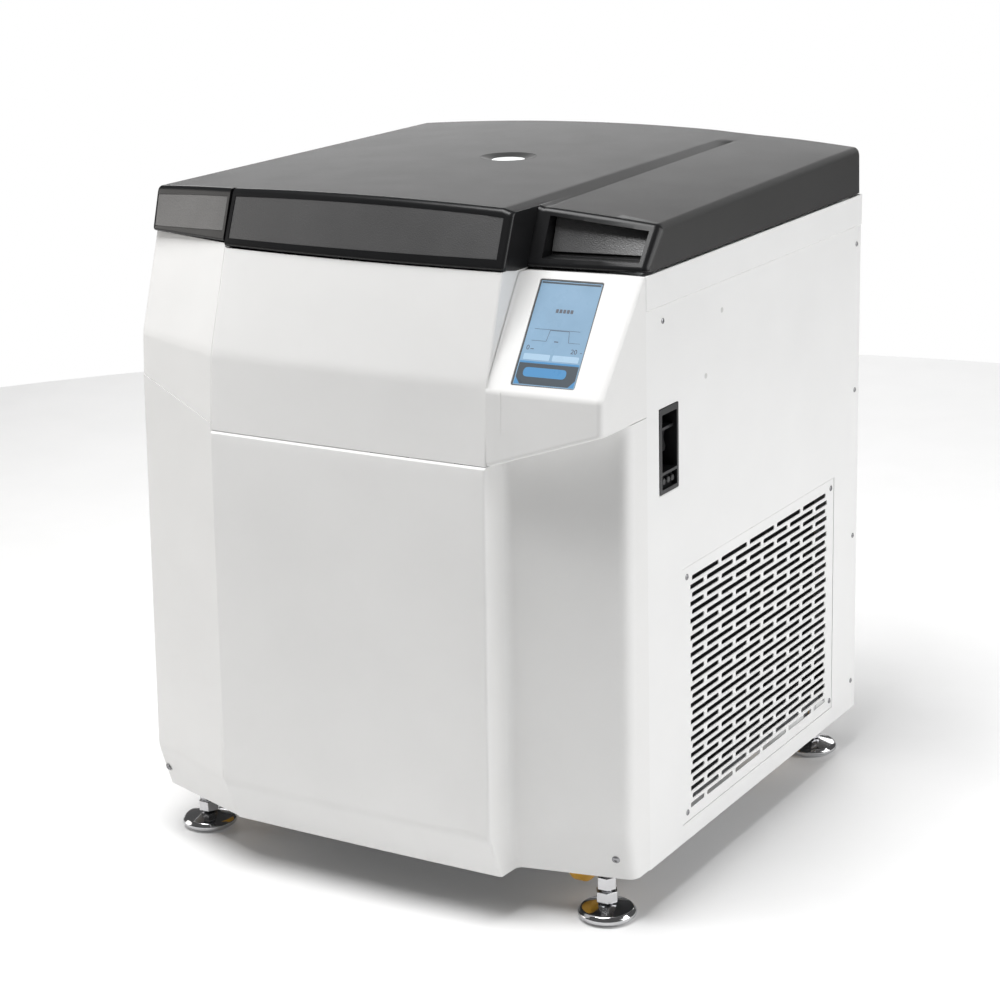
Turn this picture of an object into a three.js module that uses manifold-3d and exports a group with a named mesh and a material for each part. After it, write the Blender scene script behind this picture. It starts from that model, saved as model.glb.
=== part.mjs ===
// A floor-standing refrigerated laboratory centrifuge, built from its separate pieces.
// Millimetres, +Z up, +X to the operator's right, front face towards -Y.
// The origin is on the floor, under the middle of the machine.
import * as THREE from 'three';
import { mergeVertices } from 'three/addons/utils/BufferGeometryUtils.js';
import Module from 'manifold-3d';

const wasm = await Module();
wasm.setup();

// ---- driving dimensions ----
const gap = 0.3; // between neighbours that touch
const wall = 3; // sheet and moulded cover thickness
const halfWidth = 405;
const panelX = 403.5; // outer face of the side panels, set back under the belt
const backY = 442;
const sideFrontY = -297; // where the side panels meet the front mouldings
const skirtZ = 46; // lower edge of the side and rear panels
const coverBottomZ = 50;
const chamferZ = 118;
const seamZ = 655; // joint between the upper and lower front covers
const kneeZ = 767; // fold of the sloping upper front
const consoleFoldZ = 760;
const beltZ = [857, 905];
const centreHalf = 232; // half width of the projecting middle of the front
const chamberY = 33;
const bowlRadius = 262;
const baseZ = [100, 112];
const deckZ = [892, 898];
const linerZ = [902, 908];
const lidBottomZ = 908.5;
const lidTopZ = 998.5; // crest of the crowned lid
const lidCrown = 0.000114; // fall of the lid per square millimetre away from the crest
const lidWall = 6;
const hinge = { y: 447.8, z: 897, radius: 5, x: 230, width: 72 };
const strut = { x: 340, base: [380, 740], head: [300, 885], body: 9, rod: 4, length: 148 };
// heights are counted from a level this far above the floor, foot.drop, and lifted when a piece is added
const foot = { x: 353, y: [-332, 380], radius: 42.5, drop: 20 };
const drumLeg = { out: 141, half: 22 };
const castor = { x: 295, y: [-288, 300], z: 46, radius: 38, width: 26, trail: 30 };
const pivot = { radius: 140, z: 770 }; // trunnions of the swinging buckets
const bucket = { radius: 54, inner: 47, bottom: 670, top: 785 };
const display = { width: 92, height: 158, across: 70, down: 92 };
const grille = { y: [-190, 347], z: [75, 464], rows: 14, slots: 3, height: 9 };
const mains = { y: [-258, -200], z: [590, 713], depth: 52 };
const pocket = { x: [252, 390], floor: 920, depth: 34 };
const lock = { y: -300, z: 862 };

// ---- finishes ----
function finish(color, roughness, metalness = 0) {
  return new THREE.MeshStandardMaterial({ color, roughness, metalness });
}
const whitePaint = finish(0xeeeeec, 0.45);
const lightMoulding = finish(0xe2e2e0, 0.5);
const darkPlastic = finish(0x242528, 0.5);
const grainedPlastic = finish(0x3a3b3e, 0.6);
const blackPlastic = finish(0x121214, 0.4);
const screenGlass = finish(0x6fa6d6, 0.12);
const clearGlass = finish(0xd6e4e4, 0.08);
const rubber = finish(0x1b1b1c, 0.85);
const stainless = finish(0xc2c4c6, 0.3, 1);
const chrome = finish(0xd8dadc, 0.12, 1);
const zincSteel = finish(0xa9abad, 0.45, 1);
const castIron = finish(0x4a4c50, 0.6, 0.6);
const motorPaint = finish(0x2c2f34, 0.5, 0.3);
const aluminium = finish(0xb9bcc0, 0.4, 1);
const yellowTread = finish(0xe0a020, 0.6);

// ---- shape helpers ----

// Turns a closed geometry's faces outwards, if they point in.
function outward(geometry) {
  const g = geometry.index ? geometry : mergeVertices(geometry);
  const p = g.attributes.position;
  const i = g.index.array;
  const [a, b, c] = [new THREE.Vector3(), new THREE.Vector3(), new THREE.Vector3()];
  let volume = 0;
  for (let k = 0; k < i.length; k += 3) {
    a.fromBufferAttribute(p, i[k]);
    b.fromBufferAttribute(p, i[k + 1]);
    c.fromBufferAttribute(p, i[k + 2]);
    volume += a.dot(b.cross(c));
  }
  if (volume < 0) {
    for (let k = 0; k < i.length; k += 3) [i[k + 1], i[k + 2]] = [i[k + 2], i[k + 1]];
  }
  return g;
}

// A closed geometry as a solid that can be joined and cut.
function solid(shape) {
  if (!shape.isBufferGeometry) return shape;
  const bare = shape.clone();
  bare.deleteAttribute('normal');
  bare.deleteAttribute('uv');
  const merged = outward(mergeVertices(bare, 1e-4));
  const all = merged.index.array;
  const faces = [];
  for (let k = 0; k < all.length; k += 3) {
    const [a, b, c] = [all[k], all[k + 1], all[k + 2]];
    if (a !== b && b !== c && c !== a) faces.push(a, b, c);
  }
  return new wasm.Manifold(new wasm.Mesh({
    numProp: 3,
    vertProperties: new Float32Array(merged.attributes.position.array),
    triVerts: Uint32Array.from(faces),
  }));
}

function geometryOf(shape) {
  const mesh = shape.getMesh();
  const g = new THREE.BufferGeometry();
  g.setAttribute('position', new THREE.BufferAttribute(mesh.vertProperties, 3));
  g.setIndex(new THREE.BufferAttribute(mesh.triVerts, 1));
  g.computeVertexNormals();
  return g;
}

const join = (...shapes) => shapes.map(solid).reduce((a, b) => a.add(b));
const cut = (body, ...tools) => tools.map(solid).reduce((a, b) => a.subtract(b), solid(body));

function block(x, y, z) {
  return new THREE.BoxGeometry(x[1] - x[0], y[1] - y[0], z[1] - z[0])
    .translate((x[0] + x[1]) / 2, (y[0] + y[1]) / 2, (z[0] + z[1]) / 2);
}

function outline(points, holes = []) {
  const shape = new THREE.Shape(points.map(([a, b]) => new THREE.Vector2(a, b)));
  for (const hole of holes) {
    const vectors = hole.map(([a, b]) => new THREE.Vector2(a, b));
    shape.holes.push(new THREE.Path(vectors));
  }
  return shape;
}

const rectangle = (a0, a1, b0, b1) => [[a0, b0], [a1, b0], [a1, b1], [a0, b1]];

function circle(x, y, radius, sides) {
  const corner = (k) => (2 * Math.PI * k) / sides;
  return Array.from({ length: sides }, (_, k) => [
    x + radius * Math.cos(corner(k)), y + radius * Math.sin(corner(k))]);
}

function plateZ(points, z, holes) { // an [x, y] outline between two heights
  const options = { depth: z[1] - z[0], bevelEnabled: false };
  return new THREE.ExtrudeGeometry(outline(points, holes), options).translate(0, 0, z[0]);
}

function plateX(points, x, holes) { // a [y, z] outline between two planes across X
  const options = { depth: x[1] - x[0], bevelEnabled: false };
  const turn = new THREE.Matrix4().makeBasis(
    new THREE.Vector3(0, 1, 0), new THREE.Vector3(0, 0, 1), new THREE.Vector3(1, 0, 0));
  return new THREE.ExtrudeGeometry(outline(points, holes), options)
    .applyMatrix4(turn).translate(x[0], 0, 0);
}

function plateY(points, y, holes) { // an [x, z] outline between two planes across Y
  const options = { depth: y[1] - y[0], bevelEnabled: false };
  return new THREE.ExtrudeGeometry(outline(points, holes), options)
    .rotateX(Math.PI / 2).translate(0, y[1], 0);
}

function turned(profile, sides) { // [radius, height] points about Z
  const points = profile.map(([r, z]) => new THREE.Vector2(r, z));
  return new THREE.LatheGeometry(points, sides).rotateX(Math.PI / 2);
}

const rodX = (x, y, z, radius, sides = 16) =>
  new THREE.CylinderGeometry(radius, radius, x[1] - x[0], sides)
    .rotateZ(Math.PI / 2).translate((x[0] + x[1]) / 2, y, z);

function ringed(rings) { // skins a stack of equal closed loops and closes both ends
  const count = rings[0].length;
  const faces = [];
  for (let r = 0; r + 1 < rings.length; r += 1) {
    for (let k = 0; k < count; k += 1) {
      const [a, b] = [r * count + k, r * count + ((k + 1) % count)];
      faces.push(a, b, b + count, a, b + count, a + count);
    }
  }
  const closeEnd = (ring, first, flip) => {
    const flat = ring.map((p) => new THREE.Vector2(p[1], p[2]));
    for (const [a, b, c] of THREE.ShapeUtils.triangulateShape(flat, [])) {
      faces.push(first + a, first + (flip ? c : b), first + (flip ? b : c));
    }
  };
  const turnsLeft = !THREE.ShapeUtils.isClockWise(
    rings[0].map((p) => new THREE.Vector2(p[1], p[2])));
  closeEnd(rings[0], 0, turnsLeft);
  closeEnd(rings.at(-1), (rings.length - 1) * count, !turnsLeft);
  return fromFaces(rings.flat(), faces);
}

function fromFaces(points, faces) {
  const g = new THREE.BufferGeometry();
  g.setAttribute('position', new THREE.Float32BufferAttribute(points.flat(), 3));
  g.setIndex(faces);
  return outward(g);
}

// A moulded sheet: rows of [x, y, z] points on its outer face, which looks to the right of
// the rows' direction of travel, thickened inwards in plan.
function sheet(rows, thickness = wall) {
  const [high, wide] = [rows.length, rows[0].length];
  const inner = rows.map((row) => row.map((p, k) => {
    const [a, b] = [row[Math.max(k - 1, 0)], row[Math.min(k + 1, wide - 1)]];
    const side = (from, to) => new THREE.Vector2(to[1] - from[1], from[0] - to[0]).normalize();
    const [n, m] = [side(k ? a : p, k ? p : b), side(k < wide - 1 ? p : a, k < wide - 1 ? b : p)];
    const out = n.clone().add(m).normalize();
    const reach = thickness / Math.max(out.dot(n), 0.4);
    return [p[0] - out.x * reach, p[1] - out.y * reach, p[2]];
  }));
  const points = [...rows.flat(), ...inner.flat()];
  const at = (r, k, layer) => layer * high * wide + r * wide + k;
  const faces = [];
  const quad = (a, b, c, d) => faces.push(a, b, c, a, c, d);
  for (let r = 0; r + 1 < high; r += 1) {
    for (let k = 0; k + 1 < wide; k += 1) {
      quad(at(r, k, 0), at(r, k + 1, 0), at(r + 1, k + 1, 0), at(r + 1, k, 0));
      quad(at(r, k, 1), at(r + 1, k, 1), at(r + 1, k + 1, 1), at(r, k + 1, 1));
    }
    quad(at(r, 0, 0), at(r + 1, 0, 0), at(r + 1, 0, 1), at(r, 0, 1));
    quad(at(r, wide - 1, 0), at(r, wide - 1, 1), at(r + 1, wide - 1, 1), at(r + 1, wide - 1, 0));
  }
  for (let k = 0; k + 1 < wide; k += 1) {
    quad(at(0, k, 0), at(0, k, 1), at(0, k + 1, 1), at(0, k + 1, 0));
    const last = high - 1;
    quad(at(last, k, 0), at(last, k + 1, 0), at(last, k + 1, 1), at(last, k, 1));
  }
  return fromFaces(points, faces);
}

const machine = new THREE.Group();

function piece(name, shape, material, parent = machine) {
  const geometry = shape.isBufferGeometry ? outward(shape) : geometryOf(shape);
  const lift = parent === machine ? foot.drop : 0;
  const mesh = new THREE.Mesh(geometry.translate(0, 0, lift), material);
  mesh.name = name;
  parent.add(mesh);
}

const lerp = THREE.MathUtils.lerp;
const blend = (x, x0, x1, a, b) => lerp(a, b, THREE.MathUtils.clamp((x - x0) / (x1 - x0), 0, 1));

// ---- base, drum and deck ----

function castorFork(x, y, z) { // two cheeks, a head plate and the axle, wheel under the head
  const cheek = (side) => block(
    [x + side * 15 - 1.5, x + side * 15 + 1.5], [y - 10, y + 14], [z - 6, baseZ[0] - 6]);
  return join(
    cheek(-1), cheek(1), rodX([x - 17, x + 17], y, z, 4),
    block([x - 17, x + 17], [y - 10, y + castor.trail + 8], [baseZ[0] - 8, baseZ[0] - gap]));
}

function makeBase() {
  const edge = [[-396, -340], [-240, -400], [228, -400], [240, -372], [396, -338],
    [396, 436], [-396, 436]];
  const holes = [circle(0, chamberY, 90, 24)];
  for (const x of [-foot.x, foot.x]) for (const y of foot.y) holes.push(circle(x, y, 9, 12));
  const fixedForks = [-1, 1].map((side) =>
    join(castorFork(side * castor.x, castor.y[1], castor.z),
      block([side * castor.x - 12, side * castor.x + 12], [castor.y[1] - 8, castor.y[1] + 30],
        [baseZ[0] - 4, baseZ[0] + 1])));
  piece('base_plate', join(plateZ(edge, baseZ, holes), ...fixedForks), zincSteel);
}

function makeFeet() {
  const [pad, stemTop] = [foot.radius, baseZ[0] - gap];
  const names = { '-1': 'left', 1: 'right' };
  foot.y.forEach((y, row) => {
    for (const side of [-1, 1]) {
      const disc = turned([[0, -foot.drop], [pad - 8, -foot.drop], [pad - 1.5, -16], [pad, -11], [pad - 3, -5],
        [17, 2], [8, 6], [8, stemTop], [0, stemTop]], 16);
      const nut = (z, radius) => new THREE.CylinderGeometry(radius, radius, z[1] - z[0], 6)
        .rotateX(Math.PI / 2).translate(0, 0, (z[0] + z[1]) / 2);
      const shape = join(disc, nut([5, 22], 17), nut([25, 44], 15));
      const name = `levelling_foot_${row ? 'rear' : 'front'}_${names[side]}`;
      piece(name, shape.translate([side * foot.x, y, 0]), chrome);
    }
  });
}

function makeCastors() {
  castor.y.forEach((y, row) => {
    for (const side of [-1, 1]) {
      const x = side * castor.x;
      const place = `${row ? 'rear' : 'front'}_${side < 0 ? 'left' : 'right'}`;
      const [r, w, bore] = [castor.radius, castor.width / 2, 4.3];
      const wheel = turned([[bore, -w], [r - 9, -w], [r, -w + 5], [r, w - 5],
        [r - 9, w], [bore, w], [bore, -w]], 20);
      piece(`castor_wheel_${place}`, wheel.rotateY(Math.PI / 2).translate(x, y, castor.z), yellowTread);
      if (row === 0) piece(`castor_fork_${place}`, castorFork(x, y, castor.z), zincSteel);
    }
  });
}

function makeChamber() {
  const drum = turned([[60, 617], [285, 617], [285, 885], [297, 885], [297, 605], [60, 605],
    [60, 617]], 32).translate(0, chamberY, 0);
  const legs = [[1, 1], [1, -1], [-1, 1], [-1, -1]].map(([a, b]) => { // the drum stands on four posts
    const [x, y] = [a * drumLeg.out, chamberY + b * drumLeg.out];
    return block([x - drumLeg.half, x + drumLeg.half], [y - drumLeg.half, y + drumLeg.half],
      [baseZ[1] + gap, 606]);
  });
  piece('containment_drum', join(drum, ...legs), castIron);
  const r = bowlRadius;
  const bowl = turned([[20, 640], [r - 40, 640], [r - 12, 652], [r, 680], [r, 897], [r + 3.5, 897],
    [r + 3.5, 678], [r - 9.5, 649], [r - 39, 636.5], [20, 636.5], [20, 640]], 32);
  piece('chamber_bowl', bowl.translate(0, chamberY, 0), stainless);
  const deckEdge = [[-394, -302], [-228, -362], [-222, -372], [222, -372], [222, -290],
    [394, -290], [394, 436], [-394, 436]];
  const slots = [-1, 1].map((side) => {
    const xs = [side * strut.x - 18, side * strut.x + 18];
    return rectangle(xs[0], xs[1], 272, 400);
  });
  const holes = [circle(0, chamberY, r + 5, 32), rectangle(-9, 9, lock.y - 24, lock.y + 24), ...slots];
  piece('top_deck', plateZ(deckEdge, deckZ, holes), whitePaint);
}

// ---- drive, rotor and buckets ----

function makeDrive() {
  const motor = turned([[0, 290], [80, 290], [96, 300], [96, 585], [130, 590], [130, 604.5],
    [50, 604.5], [50, 629], [0, 629]], 24);
  piece('drive_motor', motor.translate(0, chamberY, 0), motorPaint);
  const spindle = turned([[0, 629.5], [14, 629.5], [14, 690], [9, 714.5], [0, 714.5]], 16);
  piece('drive_spindle', spindle.translate(0, chamberY, 0), stainless);
}

function makeRotor() {
  const notchHalf = 66;
  const yoke = [745, 795];
  let body = solid(plateZ(circle(0, 0, 236, 32), yoke));
  const pins = [];
  for (let quarter = 0; quarter < 4; quarter += 1) {
    const turn = (g) => g.rotateZ((quarter * Math.PI) / 2);
    const notch = turn(block([78, 260], [-notchHalf, notchHalf], [yoke[0] - 1, yoke[1] + 1]));
    body = body.subtract(solid(notch));
    for (const side of [-1, 1]) {
      const ends = side < 0 ? [-notchHalf - 6, -57] : [57, notchHalf + 6];
      const pin = new THREE.CylinderGeometry(8, 8, ends[1] - ends[0], 12);
      pins.push(turn(pin.translate(pivot.radius, (ends[0] + ends[1]) / 2, pivot.z)));
    }
  }
  const hub = turned([[0, 715], [48, 715], [60, 728], [60, 800], [0, 800]], 28);
  piece('rotor_body', join(body, hub, ...pins).translate([0, chamberY, 0]), aluminium);
  const knob = turned([[0, 800.3], [34, 800.3], [34, 808], [22, 812], [22, 830], [0, 832]], 20);
  piece('rotor_lock_knob', knob.translate(0, chamberY, 0), blackPlastic);
  for (let quarter = 0; quarter < 4; quarter += 1) {
    const { radius, inner, bottom, top } = bucket;
    const cup = turned([[0, bottom], [radius - 14, bottom], [radius, bottom + 14], [radius, top],
      [inner, top], [inner, bottom + 18], [inner - 8, bottom + 10], [0, bottom + 10]], 20);
    const angle = (quarter * Math.PI) / 2;
    const [x, y] = [pivot.radius * Math.cos(angle), pivot.radius * Math.sin(angle)];
    piece(`swing_bucket_${quarter + 1}`, cup.translate(x, chamberY + y, 0), stainless);
  }
}

// ---- cooling and electrics ----

function makeServices() {
  const floor = baseZ[1] + gap;
  const shell = turned([[0, floor], [90, floor], [96, floor + 30], [96, 260], [86, 300],
    [50, 325], [0, 332]], 24);
  piece('compressor', shell.translate(-270, 320, 0), motorPaint);
  piece('condenser_coil', block([352, 396], [-150, 300], [120, 448]), aluminium);
  const blades = [];
  for (let k = 0; k < 5; k += 1) {
    const blade = block([-2, 2], [20, 148], [-34, 34]);
    blades.push(blade.rotateY(0.3).rotateX((k * 2 * Math.PI) / 5));
  }
  const fan = join(rodX([-14, 14], 0, 0, 34, 20), ...blades).translate([324, 75, 284]);
  piece('condenser_fan', fan, blackPlastic);
  piece('electronics_box', cut(
    block([-394, -262], [-260, 140], [floor, 430]),
    block([-391, -250], [-257, 137], [floor + wall, 430 - wall])), zincSteel);
  const gland = join(
    new THREE.CylinderGeometry(20, 20, 4, 24).translate(0, 2, 0),
    new THREE.CylinderGeometry(12, 12, 10, 6).translate(0, 5, 0));
  piece('mains_inlet', gland.translate([-300, backY, 130]), blackPlastic);
}

// ---- cabinet ----

function makeCabinet() {
  const panel = rectangle(sideFrontY + 1, backY, skirtZ, beltZ[0] - gap);
  const windows = [rectangle(...grille.y, ...grille.z), rectangle(...mains.y, ...mains.z)];
  piece('right_side_panel', plateX(panel, [panelX - wall, panelX], windows), whitePaint);
  piece('left_side_panel', plateX(panel, [-panelX, wall - panelX]), whitePaint);

  const grow = 0.6; // air around the pieces that sit in the panel's windows
  const slots = [];
  const margin = 24;
  const width = (grille.y[1] - grille.y[0] - 2 * margin) / grille.slots;
  const pitch = (grille.z[1] - grille.z[0] - 2 * margin) / grille.rows;
  for (let row = 0; row < grille.rows; row += 1) {
    const z = grille.z[0] + margin + (row + 0.5) * pitch;
    for (let k = 0; k < grille.slots; k += 1) {
      const y = grille.y[0] + margin + k * width;
      slots.push(block([panelX - 5, panelX + 5], [y + 5, y + width - 5],
        [z - grille.height, z + grille.height]));
    }
  }
  piece('air_grille', cut(block([panelX - 2, panelX], [grille.y[0] + grow, grille.y[1] - grow],
    [grille.z[0] + grow, grille.z[1] - grow]), ...slots), whitePaint);

  const [y0, y1] = [mains.y[0] + grow, mains.y[1] - grow];
  const [z0, z1] = [mains.z[0] + grow, mains.z[1] - grow];
  piece('switch_housing', cut(
    block([panelX - mains.depth, panelX], [y0, y1], [z0, z1]),
    block([panelX - 40, panelX + 5], [y0 + 5, y1 - 5], [z0 + 6, z1 - 6])), blackPlastic);
  const paddle = [[-9, -9], [9, -9], [11, 0], [9, 24], [-3, 24], [-9, 9]];
  piece('switch_lever', plateY(paddle, [-16, 16]).translate(380, (y0 + y1) / 2, 652), blackPlastic);

  const louvres = [];
  for (const x of [-250, 30]) {
    for (let row = 0; row < 7; row += 1) {
      louvres.push(block([x, x + 220], [backY - 9, backY + 9], [200 + row * 36, 212 + row * 36]));
    }
  }
  piece('rear_panel', cut(block([-399, 399], [backY - wall, backY], [skirtZ, beltZ[0] - gap]),
    ...louvres), whitePaint);

  const belt = (z) => [[halfWidth, sideFrontY + 1, z], [halfWidth, backY, z],
    [-halfWidth, backY, z], [-halfWidth, sideFrontY + 1, z]];
  piece('upper_belt', sheet([belt(beltZ[1]), belt(beltZ[0])]), whitePaint);
}

// ---- front mouldings ----

// Plan position of the middle cover's side edges at each height, and how far its middle bows out.
const frontRows = [[beltZ[1], -381, 9], [kneeZ, -424, 7], [seamZ, -434, 2]];

function makeFrontCovers() {
  const upper = frontRows.map(([z, y, bow]) => {
    const row = [];
    for (let k = 0; k <= 8; k += 1) {
      const s = k / 4 - 1;
      row.push([s * (centreHalf - 0.5), y - bow * (1 - s * s), z]);
    }
    return [...row, [centreHalf - 0.5, Math.max(y + 70, -330), z]];
  });
  piece('front_upper_cover', sheet(upper), whitePaint);

  // the lower cover: middle, return, recessed right part and the corner to the side panel
  const lower = (z, shift) => [
    [0.5 - centreHalf, -440 + shift.middle, z],
    [centreHalf, -440 + shift.middle, z],
    [centreHalf + 2, -398 + shift.recess, z],
    [centreHalf + 10, -390 + shift.recess, z],
    [386, -359 + shift.recess, z],
    [halfWidth, -342 + shift.recess, z],
    [halfWidth, sideFrontY - 0.5, z]];
  const top = lower(seamZ - 3, { middle: 0, recess: 4 });
  top.forEach((p, k) => {
    if (k > 1) p[2] = underConsole(p[0]) - 1.2;
  });
  piece('front_lower_cover', sheet([
    top,
    lower(chamferZ, { middle: -12.8, recess: -2 }),
    lower(coverBottomZ, { middle: 20, recess: 14 })]), lightMoulding);

  // the left wing, receding from the middle, in two mouldings with a sloping joint
  const joint = -centreHalf - 1;
  const wing = (z, slope, cornerY, innerY) => [
    [-halfWidth, sideFrontY - 0.5, z + slope],
    [-halfWidth, cornerY + 8, z + slope],
    [-halfWidth + 5, cornerY, z + slope],
    [joint, innerY, z]];
  piece('wing_upper_cover', sheet([
    wing(beltZ[1], 0, -319, -377),
    wing(kneeZ, 3, -363, -420),
    wing(664, 44, -367, -429)]), whitePaint);
  piece('wing_lower_cover', sheet([
    wing(663, 44, -368, -430),
    wing(chamferZ, 4, -386, -446),
    wing(coverBottomZ, 0, -360, -416)]), lightMoulding);
}

// Height of the control console's sloping underside.
const underConsole = (x) => blend(x, centreHalf + 3, halfWidth, seamZ, 712);

const consoleEdge = { top: [-316, -304], fold: [-431, -424], left: centreHalf + 3 };

function makeConsole() {
  const section = (side, inset, back) => {
    const x = side ? halfWidth - inset : consoleEdge.left + inset;
    const [top, fold] = [consoleEdge.top[side], consoleEdge.fold[side]];
    const floor = underConsole(side ? halfWidth : consoleEdge.left) + inset;
    return [
      [top + inset * 1.3, beltZ[1]],
      [fold + inset, consoleFoldZ],
      [fold - 2 + inset, floor],
      [back, floor],
      [back, beltZ[1]]].map(([y, z]) => [x, y, z]);
  };
  const outer = ringed([section(0, 0, sideFrontY), section(1, 0, sideFrontY)]);
  const { origin, across, down, out } = displayFace();
  const window = new THREE.BoxGeometry(display.width + 5.2, display.height + 5.2, 40);
  const centre = origin.clone().addScaledVector(across, display.across)
    .addScaledVector(down, display.down);
  const frame = new THREE.Matrix4().makeBasis(across, down.clone().negate(), out)
    .setPosition(centre);
  const inner = ringed([0, 1].map((side) => section(side, 4, sideFrontY + 20).map(lift)));
  piece('console_housing', cut(outer, inner, window.applyMatrix4(frame)), whitePaint);

  const screen = new THREE.Group();
  screen.applyMatrix4(frame);
  screen.position.z += foot.drop;
  machine.add(screen);
  const [w, h] = [display.width / 2, display.height / 2];
  const bezel = plateZ(rectangle(-w - 2, w + 2, -h - 2, h + 2), [-4, 0.2],
    [rectangle(-w + 1, w - 1, -h + 1, h - 1)]);
  piece('display_bezel', bezel, blackPlastic, screen);
  piece('display_screen', plateZ(rectangle(1.7 - w, w - 1.7, 1.7 - h, h - 1.7), [-3.7, -0.4]),
    screenGlass, screen);
}

// The console's inner solid runs on upwards, so that the housing stays open under the lid.
function lift([x, y, z]) {
  return z < beltZ[1] ? [x, y, z] : [x, y + 16, z + 20];
}

// Origin and directions of the sloping display face.
function displayFace() {
  const corner = (side) => new THREE.Vector3(
    side ? halfWidth : consoleEdge.left, consoleEdge.top[side], beltZ[1]);
  const fold = new THREE.Vector3(consoleEdge.left, consoleEdge.fold[0], consoleFoldZ);
  const origin = corner(0);
  const across = corner(1).sub(origin).normalize();
  const out = fold.clone().sub(origin).cross(across).normalize();
  const down = across.clone().cross(out).negate().normalize();
  if (down.z > 0) down.negate();
  if (out.y > 0) out.negate();
  return { origin, across, down, out };
}

// ---- lid ----

const crown = (x) => lidTopZ - lidCrown * x * x;
// The right-hand part lies a little lower than the crown, most of all at its front corner.
const frontDrop = (x) => blend(x, 195, 224, 0, 6) + blend(x, 224, halfWidth, 0, 8);
const backDrop = (x) => blend(x, 195, 224, 0, 3.5);

// Front of the lid in plan at its lower edge and at its top edge.
function lidFront(x) {
  if (x < -centreHalf) {
    return [blend(x, -halfWidth, -centreHalf, -321, -381), blend(x, -halfWidth, -centreHalf, -301, -358)];
  }
  if (x <= centreHalf + 2) {
    const bow = 10 * (1 - Math.min((x / centreHalf) ** 2, 1));
    return [-384 - bow, -361 - bow];
  }
  return [blend(x, centreHalf + 4, halfWidth, -319, -297), blend(x, centreHalf + 4, halfWidth, -285, -252)];
}

function lidSection(x, inset, edgeDrop = 0) {
  const [low, high] = lidFront(x);
  const front = crown(x) - frontDrop(x) - inset - edgeDrop;
  const middle = crown(x) - backDrop(x) - inset - edgeDrop;
  const back = crown(x) - inset - edgeDrop;
  const rim = inset ? lidBottomZ - 12 : lidBottomZ;
  return [
    [low + inset, rim], [high + inset, front - 9], [high + inset + 3, front - 3],
    [high + inset + 10, front], [348, middle], [360, back], [425 - inset, back],
    [432 - inset, back - 3], [434 - inset, back - 9], [437 - inset, rim],
  ].map(([y, z]) => [x, y, z]);
}

const pocketTop = (x) => blend(x, pocket.x[0], pocket.x[1], 971, 955);

function pocketBack(x, z) { // y of the pocket's sloping back wall
  const [low, high] = lidFront(x);
  return blend(z, pocket.floor, pocketTop(x), low + pocket.depth, high + 18);
}

function pocketSection(x, thick) { // the finger pocket, or with thick the wall behind it
  const [low, high] = lidFront(x);
  const [floor, roof] = [pocket.floor - thick, pocketTop(x) + thick];
  return [
    [low - 30, floor], [low + pocket.depth + thick, floor],
    [high + 18 + thick, roof], [low - 30, roof],
  ].map(([y, z]) => [x, y, z]);
}

function fasciaSheet(xs, z, depth, thickness) { // a strip set into the lid's sloping front
  const row = (height) => xs.map((x) => {
    const [low, high] = lidFront(x);
    const s = (height - lidBottomZ) / (crown(x) - 9 - lidBottomZ);
    return [x, lerp(low, high, s) + depth, height];
  });
  return sheet([row(z[1]), row(z[0])], thickness);
}

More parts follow.
